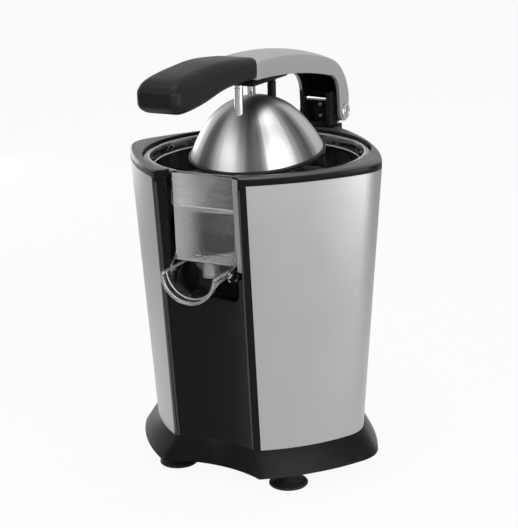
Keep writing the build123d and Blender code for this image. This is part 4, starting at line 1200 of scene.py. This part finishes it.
@dataclass
class Lever(Assembly):
    """Arm, grip and hinge caps."""

    corner: float = 0.33
    corner_parts: int = 10
    sections: tuple[tuple[float, float, float, float], ...] = (
        (-29.5, 294.0, 309.8, 17.85), (-66.0, 293.4, 313.0, 17.85), (-100.0, 287.4, 312.0, 17.85),
        (-124.0, 285.8, 309.2, 17.4), (-133.4, 288.4, 305.6, 15.7), (-137.2, 291.4, 302.6, 12.8),
    )
    grip_parts: int = 60
    grip_sharp: float = 60.0
    tip_share: float = 0.7
    tip_round: float = 0.35
    arm_edge: float = 2.2
    inside_half: float = 14.6
    inside_start: float = -18.0
    wall_slope: float = 0.5
    roof_slope: float = 0.3
    cap_steps: int = 48
    cap_bevels: Pair = (0.2, 0.3)
    cap_shoulder: Point = (0.7, 0.55, 0.8)
    cap_groove: tuple[Pair, ...] = ((0.62, 0.9), (0.56, 0.62), (0.48, 0.9))

    def _between(self, share: float) -> list[float]:
        """Section at a share of the grip, on a smooth line through the given ones.

        Args:
            share: From 0 at the arm to 1 at the tip.

        Returns:
            Its Y, lowest and highest Z and half width.
        """
        rows = self.sections
        spot = share * (len(rows) - 1)
        index = min(int(spot), len(rows) - 2)
        t = spot - index
        before, after = rows[max(index - 1, 0)], rows[min(index + 2, len(rows) - 1)]
        section = []
        for a, b, c, d in zip(before, rows[index], rows[index + 1], after):
            bend, twist = 2 * a - 5 * b + 4 * c - d, 3 * b - a - 3 * c + d
            section.append(0.5 * (2 * b + (c - a) * t + bend * t * t + twist * t**3))
        return section

    def _loop(self, y: float, low: float, high: float, half: float) -> list[Vector]:
        """Rounded rectangle across the grip.

        Args:
            y: Its place along the grip.
            low: Lowest Z.
            high: Highest Z.
            half: Half width.

        Returns:
            Points in metres.
        """
        edge = self.corner * (high - low)
        side, top, foot = half - edge, high - edge, low + edge
        corners = ((side, top), (-side, top), (-side, foot), (side, foot))
        points = []
        for index, (x, z) in enumerate(corners):
            points += quarter(x, z, edge, index * pi / 2, self.corner_parts)
        return [place(x, y, z) for x, z in points]

    def build(self) -> None:
        """Make the grip, the arm and its caps."""
        shares = spread(0.0, 1.0, self.grip_parts)
        loops = [self._loop(*self._between(share)) for share in shares]
        tip = sum(loops[-1], Vector()) / len(loops[-1])
        end = tip - Vector((0, self.tip_round * MM, 0))
        loops.append([end + (point - tip) * self.tip_share for point in loops[-1]])
        grip = new_piece("grip_moulded", skin(loops), self.grip_sharp)
        self.workshop.replace(grip, SOFT_GRIP, "grip")
        arm = self.workshop.soften("lever_arm", ARM_SILVER, self.arm_edge, steps=4)
        # The walls and roof of the arm's hollow take the black finish in place of the silver paint.
        self.workshop.second_finish(arm, BODY_BLACK, self._is_inside)
        self.workshop.soften("rod_plate", BODY_BLACK, 0.6)
        for node in ("hinge_cap_left", "hinge_cap_right"):
            self._cap(node)

    def _is_inside(self, face: Face) -> bool:
        """Whether a face of the arm is in its hollow, which takes the black finish.

        Args:
            face: Face of the arm.

        Returns:
            True for a wall or the roof of the hollow.
        """
        x, y = face.center.x / MM, (face.center.y - SPINDLE_Y) / MM
        wall = x * face.normal.x < 0 and abs(face.normal.x) > self.wall_slope
        roof = abs(x) < self.inside_half and min(face.normal.y, face.normal.z) < -self.roof_slope
        return y > self.inside_start and (wall or roof)

    def _cap(self, node: str) -> None:
        """Replace a hinge cap by a crowned disc with a groove.

        Args:
            node: Cap to replace.
        """
        low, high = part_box(node)
        side = 1 if low[0] > 0 else -1
        radius, thick = (high[1] - low[1]) / 2 / MM, (high[0] - low[0]) / MM
        (inset, rise), (draw, start, end) = self.cap_bevels, self.cap_shoulder
        profile = [(0.0, 0.0), (radius - inset, 0.0), (radius, rise)]
        profile += [(radius, thick * start), (radius - draw, thick * end)]
        profile += [(radius * wide, thick * deep) for wide, deep in self.cap_groove]
        profile += [(0.0, thick)]
        inner = low[0] if side > 0 else high[0]
        foot = Vector((inner, (low[1] + high[1]) / 2, (low[2] + high[2]) / 2))
        axis = Matrix.Translation(foot) @ Matrix.Rotation(side * pi / 2, 4, "Y")
        cap = new_piece(f"{node}_crowned", lathe(profile, self.cap_steps, axis))
        self.workshop.replace(cap, CAP_STEEL, node)


@dataclass
class Spout(Assembly):
    """Flip-up trough with a thick bright rim."""

    half: float = 22.0
    wall: float = 1.8
    top_z: float = 169.6
    front_y: float = -105.0
    rear_y: float = -63.0
    front_depth: float = 21.6
    rear_depth: float = 14.0
    rim: float = 1.1
    arc_parts: int = 40
    parts: int = 24
    line_share: float = 0.88
    line_lift: float = 0.2
    line_radius: float = 0.45
    wall_highlight_shares: Pair = (0.06, 0.82)
    wall_highlight_parts: int = 16
    wall_highlight_points: tuple[int, int] = (33, 39)
    wall_highlight_sheet: float = 0.5
    pin_spot: Point = (20.8, -83.0, 166.0)
    pin_steps: int = 24
    pin: tuple[Pair, ...] = (
        (0.0, 0.0), (2.0, 0.0), (2.0, 3.9), (3.6, 3.9), (3.6, 4.5), (3.2, 4.9), (0.0, 4.9),
    )

    def _arc(self, share: float, inset: float) -> list[Vector]:
        """Hollow of the trough across one place.

        Args:
            share: From 0 at the rear to 1 at the front.
            inset: Distance inside the outer face.

        Returns:
            Points from left to right.
        """
        depth = self.rear_depth + (self.front_depth - self.rear_depth) * share - self.rim - inset
        half = self.half - inset
        radius = (half * half + depth * depth) / (2 * depth)
        reach = atan2(half, radius - depth)
        y = self.rear_y + (self.front_y - self.rear_y) * share
        middle = self.top_z - self.rim - depth + radius
        turn = spread(-reach, reach, self.arc_parts)
        return [place(radius * sin(a), y, middle - radius * cos(a)) for a in turn]

    def build(self) -> None:
        """Make the trough, its pins, its rim, its lip's inner line and a painted highlight."""
        shares = spread(0.0, 1.0, self.parts)
        shape = skin([self._arc(s, 0.0) + self._arc(s, self.wall)[::-1] for s in shares])
        back = self._arc(0.0, self.wall / 2)
        skin([back, [point - Vector((0, self.wall * MM, 0)) for point in back]], shape)
        self.workshop.replace(new_piece("drip_spout_trough", shape), CLEAR, "drip_spout")
        self._pins()
        sides = [self._arc(share, self.wall / 2) for share in spread(0.0, 0.9, parts=9)]
        left, right = [arc[0] for arc in sides], [arc[-1] for arc in reversed(sides)]
        path = left + self._arc(1.0, self.wall / 2) + right
        self.put("spout_rim", bead(path, self.rim), CLEAR_RIM, "spout")
        self._lip_line_and_wall_highlight()

    def _lip_line_and_wall_highlight(self) -> None:
        """Add the inner line of the thick lip and a painted highlight along the right wall."""
        line = self._arc(self.line_share, self.wall + self.line_lift)
        shape = bead(line, self.line_radius)
        loops, part = [], slice(*self.wall_highlight_points)
        # Painted highlight: a pale sheet on the right wall where it catches the light.
        for share in spread(*self.wall_highlight_shares, self.wall_highlight_parts):
            face = self._arc(share, self.wall + self.wall_highlight_sheet)[part]
            back = self._arc(share, self.wall + TOUCH)[part]
            loops.append(face + back[::-1])
        self.put("spout_lip_line_and_painted_highlight", skin(loops, shape), CLEAR_EDGE, "spout")

    def _pins(self) -> None:
        """Add the two pivot pins."""
        x, y, z = self.pin_spot
        pins = bmesh.new()
        for side in (-1, 1):
            turn = Matrix.Rotation(side * pi / 2, 4, "Y")
            axis = Matrix.Translation(place(side * x, y, z)) @ turn
            lathe(self.pin, self.pin_steps, axis, pins)
        self.put("spout_pins", pins, BODY_BLACK, "spout", "black_plastic")


@dataclass
class Collector(Assembly):
    """Clear collector: its shell, the bright edges of its front box and the outlet."""

    shell_edge: float = 0.35
    face_y: float = -78.75
    top_half: float = 25.5
    low_half: float = 24.5
    top_z: float = 231.0
    low_z: float = 171.0
    edge: float = 0.9
    film: float = 0.25
    film_inset: float = 0.4
    film_lift: float = 0.5
    film_top: float = 234.6
    line_z: float = 211.4
    line_proud: float = 0.2
    line_radius: float = 0.6
    flank_highlight_x: Pair = (27.3, 32.2)
    flank_highlight_sheet: float = 0.8
    flank_highlight_heights: Pair = (169.0, 236.0)
    sleeve_drops: tuple[Pair, ...] = (
        (6.3, 0.1), (6.3, 9.8), (6.7, 10.3), (6.7, 11.0), (6.3, 11.4), (5.1, 11.4), (5.1, 0.1), (6.3, 0.1),
    )
    sleeve_back: float = 7.25
    sleeve_steps: int = 48
    rims: tuple[tuple[str, float, float, float], ...] = (
        ("bowl_rim", 79.6, 235.0, 0.8), ("bowl_step_edge", 76.2, 228.0, 0.6),
    )
    rim_gap: float = 1.05
    rim_parts: int = 120

    def build(self) -> None:
        """Make the shell and its edges."""
        self.workshop.soften("juice_collector", CLEAR, self.shell_edge)
        y, low = self.face_y + self.edge, self.low_z + self.edge
        top_x, low_x = self.top_half - self.edge, self.low_half - self.edge
        corners = ((-top_x, self.top_z), (-low_x, low), (low_x, low), (top_x, self.top_z))
        path = [place(x, y, z) for x, z in corners]
        self.put("collector_edges", bead(path, self.edge), CLEAR_EDGE, "base")
        self._front()
        self._flank_highlight()
        axis = Matrix.Translation(place(0, self.face_y + self.sleeve_back, 0))
        profile = [(radius, self.low_z - drop) for radius, drop in self.sleeve_drops]
        self.put("outlet_sleeve", lathe(profile, self.sleeve_steps, axis), CLEAR_RIM, "base")
        for row in self.rims:
            self._rim(*row)

    def _front(self) -> None:
        """Add the pale film of painted reflection on the front and the line of its step."""
        near, far = self.face_y - self.film, self.face_y - TOUCH
        low, top = self.low_half - self.film_inset, self.top_half - self.film_inset
        loops = []
        for z, half in ((self.low_z + self.film_lift, low), (self.film_top, top)):
            corners = ((-half, near), (half, near), (half, far), (-half, far))
            loops.append([place(x, y, z) for x, y in corners])
        self.put("collector_front_painted_reflection", skin(loops), FRONT_REFLECTION_FILM, "base")
        y = self.face_y - self.line_proud
        line = [place(x, y, self.line_z) for x in spread(-low, low, parts=16)]
        self.put("collector_step_line", bead(line, self.line_radius), CLEAR_EDGE, "base")

    def _flank_highlight(self) -> None:
        """Add a pale sheet on the channel's right flank: a painted highlight where it is lit."""
        channel = Channel()
        across = spread(*self.flank_highlight_x, parts=8)
        loops = []
        for z in spread(*self.flank_highlight_heights, parts=24):
            face = [channel.spot(x, z, self.flank_highlight_sheet) for x in across]
            loops.append(face + [channel.spot(x, z, TOUCH) for x in reversed(across)])
        self.put("collector_flank_painted_highlight", skin(loops), CLEAR_PAINTED_HIGHLIGHT, "base")

    def _rim(self, name: str, radius: float, z: float, bar: float) -> None:
        """Add a rounded bright edge to the bowl, open at the front box.

        Args:
            name: Piece name.
            radius: Radius in millimetres.
            z: Height in millimetres.
            bar: Radius of the edge's own section.
        """
        gap = self.rim_gap * self.top_half / radius
        turn = spread(gap, 2 * pi - gap, self.rim_parts)
        path = [place(radius * sin(a), -radius * cos(a), z) for a in turn]
        self.put(name, bead(path, bar), CLEAR_EDGE, "base")


@dataclass
class Body(Assembly):
    """Skirt, panel, collar, post and feet."""

    shells: tuple[tuple[str, Finish, float, int], ...] = (
        ("base_skirt", BODY_BLACK, 1.2, 3), ("front_panel", PANEL_BLACK, 0.7, 3),
        ("top_collar", COLLAR_BAND, 0.5, 2), ("hinge_post", BODY_BLACK, 0.7, 2),
        ("post_cover", SOFT_GRIP, 0.35, 2), ("cord_gland", RUBBER, 0.5, 3),
    )
    collar_z: float = 236.0
    collar_slope: float = 0.6
    bead_radius: float = 0.8
    bead_x: Pair = (31.0, 33.0)
    bead_heights: Pair = (34.0, 229.0)
    bead_parts: int = 24
    foot_steps: int = 72
    foot: tuple[Pair, ...] = (
        (0.0, 2.4), (6.0, 2.1), (10.0, 1.2), (13.0, 0.05), (13.8, 0.0), (14.4, 0.6), (14.4, 1.5),
        (13.9, 2.2), (12.3, 2.7), (10.4, 3.7), (8.6, 5.2), (7.3, 6.9), (6.5, 8.2), (6.5, 9.4),
        (7.4, 9.8), (7.4, 11.0), (6.5, 11.4), (6.5, 15.0), (0.0, 15.0),
    )

    def build(self) -> None:
        """Make the body's shells, the raised lines and the feet."""
        made = {row[0]: self.workshop.soften(*row) for row in self.shells}
        # The collar's top faces take a lighter colour: painted sheen.
        self.workshop.second_finish(made["top_collar"], COLLAR_TOP_PAINTED_SHEEN, self._is_top)
        self._channel_beads()
        for node in ("foot_front_left", "foot_front_right", "foot_rear_left", "foot_rear_right"):
            cup = lathe(self.foot, self.foot_steps, upright(node))
            self.workshop.replace(new_piece(f"{node}_cup", cup), RUBBER, node)

    def _is_top(self, face: Face) -> bool:
        """Whether a face of the collar looks up from its top."""
        return face.normal.z > self.collar_slope and face.center.z > self.collar_z * MM

    def _channel_beads(self) -> None:
        """Add the raised line down each flank of the channel."""
        channel = Channel()
        across = spread(*self.bead_x, self.bead_parts)
        heights = spread(*self.bead_heights, self.bead_parts)
        shape = bmesh.new()
        for side in (-1, 1):
            path = [channel.spot(side * x, z) for x, z in zip(across, heights)]
            bead(path, self.bead_radius, shape)
        self.put("channel_beads", shape, BEAD_BLACK, "base", "gloss_black")


@dataclass
class Spring(Assembly):
    """Return spring between its bracket and the plunger."""

    node: str = "return_spring"
    radius: float = 5.5
    wire: float = 0.6
    turns: int = 4
    parts: int = 24

    def build(self) -> None:
        """Wind the spring between its bracket and the plunger."""
        node = self.node
        low, high = (corner[2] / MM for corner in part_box(node))
        count = self.turns * self.parts
        angles = spread(0.0, 2 * pi * self.turns, count)
        heights = spread(low + self.wire, high - self.wire, count)
        path = [place(self.radius * cos(a), self.radius * sin(a), z) for a, z in zip(angles, heights)]
        spring = new_piece(f"{node}_wound", bead(path, self.wire))
        self.workshop.coat(spring, FINISH_OF_SLOT[SLOT_OF_NODE[node]])
        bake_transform(spring)
        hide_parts(node)
        self.workshop.report(spring, "between base and plunger")


@dataclass(frozen=True)
class Lamp:
    """Square soft lamp: its place and side in millimetres, and its power in watts."""

    name: str
    spot: Point
    size: float
    watts: float


@dataclass
class Studio:
    """Camera, lights, floor and backdrop.

    The levels of the world are those for surfaces, for reflections and for the camera. Reflections
    see a pool of light on the floor, which fades out between two distances in metres.
    """

    position: Vector = field(default_factory=lambda: place(516.1, -953.8, 467.7))
    azimuth: float = 28.436
    pitch: float = 16.36
    roll: float = -1.40
    lens: float = 102.5
    sensor: float = 36.0
    aim: Point = (0, 0, 150)
    world_levels: Point = (0.42, 0.85, 1.0)
    floor_size: float = 12.0
    floor_grey: float = 0.62
    floor_level: float = 0.93
    pool: Pair = (0.16, 0.7)
    pool_levels: Pair = (0.75, 0.04)
    lamps: tuple[Lamp, ...] = (
        Lamp("side", (1500, -900, 900), 1300, 26.0),
        Lamp("front", (-700, -1500, 1100), 900, 7.0),
        Lamp("top", (100, -100, 1600), 1000, 10.0),
        Lamp("rim", (1280, 120, 110), 330, 5.0),
        Lamp("low", (-1000, 620, 200), 420, 2.6),
    )

    def build(self) -> None:
        """Make everything that isn't part of the object."""
        self._camera()
        self._world()
        self._floor()
        for lamp in self.lamps:
            self._hang(lamp)
        bpy.context.scene.view_settings.view_transform = "Standard"

    def _camera(self) -> None:
        """Set up the camera at the photograph's viewing angle."""
        around, lift, lean = radians(self.azimuth), radians(self.pitch), radians(self.roll)
        back = Vector((sin(around) * cos(lift), -cos(around) * cos(lift), sin(lift)))
        right = Vector((cos(around), sin(around), 0.0))
        up = back.cross(right)
        level_right = right * cos(lean) + up * sin(lean)
        level_up = up * cos(lean) - right * sin(lean)
        camera = bpy.data.cameras.new("view")
        camera.lens = self.lens
        camera.sensor_width = self.sensor
        holder = link("view", camera)
        turn = Matrix((level_right, level_up, back)).transposed().to_4x4()
        holder.matrix_world = Matrix.Translation(self.position) @ turn
        bpy.context.scene.camera = holder

    @staticmethod
    def _seen(graph: Graph, plain: float, glossy: object, direct: float) -> Socket:
        """Level for each kind of ray.

        Args:
            graph: Tree to add to.
            plain: Level for light that falls on surfaces.
            glossy: Level that reflections see, or its socket.
            direct: Level that the camera and clear pieces see.

        Returns:
            The level.
        """
        rays = graph.add("ShaderNodeLightPath").outputs
        mirrored = graph.times(rays["Is Glossy Ray"], glossy)
        through = graph.maths("MAXIMUM", rays["Is Camera Ray"], rays["Is Transmission Ray"])
        seen = graph.maths("MAXIMUM", mirrored, graph.times(through, direct))
        return graph.maths("MAXIMUM", seen, plain)

    def _world(self) -> None:
        """White backdrop, with a softer level for diffuse light."""
        world = bpy.data.worlds.new("studio")
        bpy.context.scene.world = world
        graph = bare_graph(world)
        level = self._seen(graph, *self.world_levels)
        light = graph.add("ShaderNodeBackground", Color=(1, 1, 1, 1), Strength=level)
        graph.add("ShaderNodeOutputWorld", Surface=light.outputs[0])

    def _floor(self) -> None:
        """Pale floor that keeps the object's shadow."""
        shape = bmesh.new()
        bmesh.ops.create_grid(shape, x_segments=1, y_segments=1, size=self.floor_size)
        floor = new_piece("floor", shape)
        material = bpy.data.materials.new("floor_white")
        graph = bare_graph(material)
        grey = self.floor_grey
        paint = graph.add("ShaderNodeBsdfDiffuse", Color=(grey, grey, grey, 1))
        glow = graph.add("ShaderNodeEmission", Color=(1, 1, 1, 1), Strength=1.0)
        away = graph.length(graph.add("ShaderNodeTexCoord").outputs["Object"])
        pool = graph.fade(away, *self.pool, *self.pool_levels)
        share = self._seen(graph, 0.0, pool, self.floor_level)
        mix = graph.add("ShaderNodeMixShader", in0=share, in1=paint.outputs[0], in2=glow.outputs[0])
        graph.add("ShaderNodeOutputMaterial", Surface=mix.outputs[0])
        floor.data.materials.append(material)

    def _hang(self, lamp: Lamp) -> None:
        """Add a lamp that faces the object.

        Args:
            lamp: The lamp.
        """
        light = bpy.data.lights.new(lamp.name, "AREA")
        light.size = lamp.size * MM
        light.energy = lamp.watts
        spot = place(*lamp.spot)
        turn = (place(*self.aim) - spot).to_track_quat("-Z", "Y").to_matrix().to_4x4()
        link(lamp.name, light).matrix_world = Matrix.Translation(spot) @ turn


def main() -> None:
    """Build the studio and dress every piece."""
    logging.basicConfig(level=logging.INFO, format="%(message)s")
    workshop = Workshop(FinishShop(place(*PressDome.centre), radians(PressDome.tilt)))
    for node, slot in SLOT_OF_NODE.items():
        workshop.coat(NODES[node], FINISH_OF_SLOT[slot])
    workshop.coat(NODES["strainer"], STRAINER_STEEL)
    Studio().build()
    for assembly in (Body, Collector, Spout, Reamer, PressDome, Lever, Spring):
        assembly(workshop).build()
    screws = ScrewKit(workshop)
    screws.set_on("bottom_screws", Outward.DOWN)
    screws.set_on("gearbox_screws", Outward.UP)
    screws.set_on("motor_screws", Outward.UP)
    screws.set_on("post_screws", Outward.FRONT, share=0.74)
    LOG.info("%d pieces", len(workshop.done))


if __name__ == "__main__":
    main()
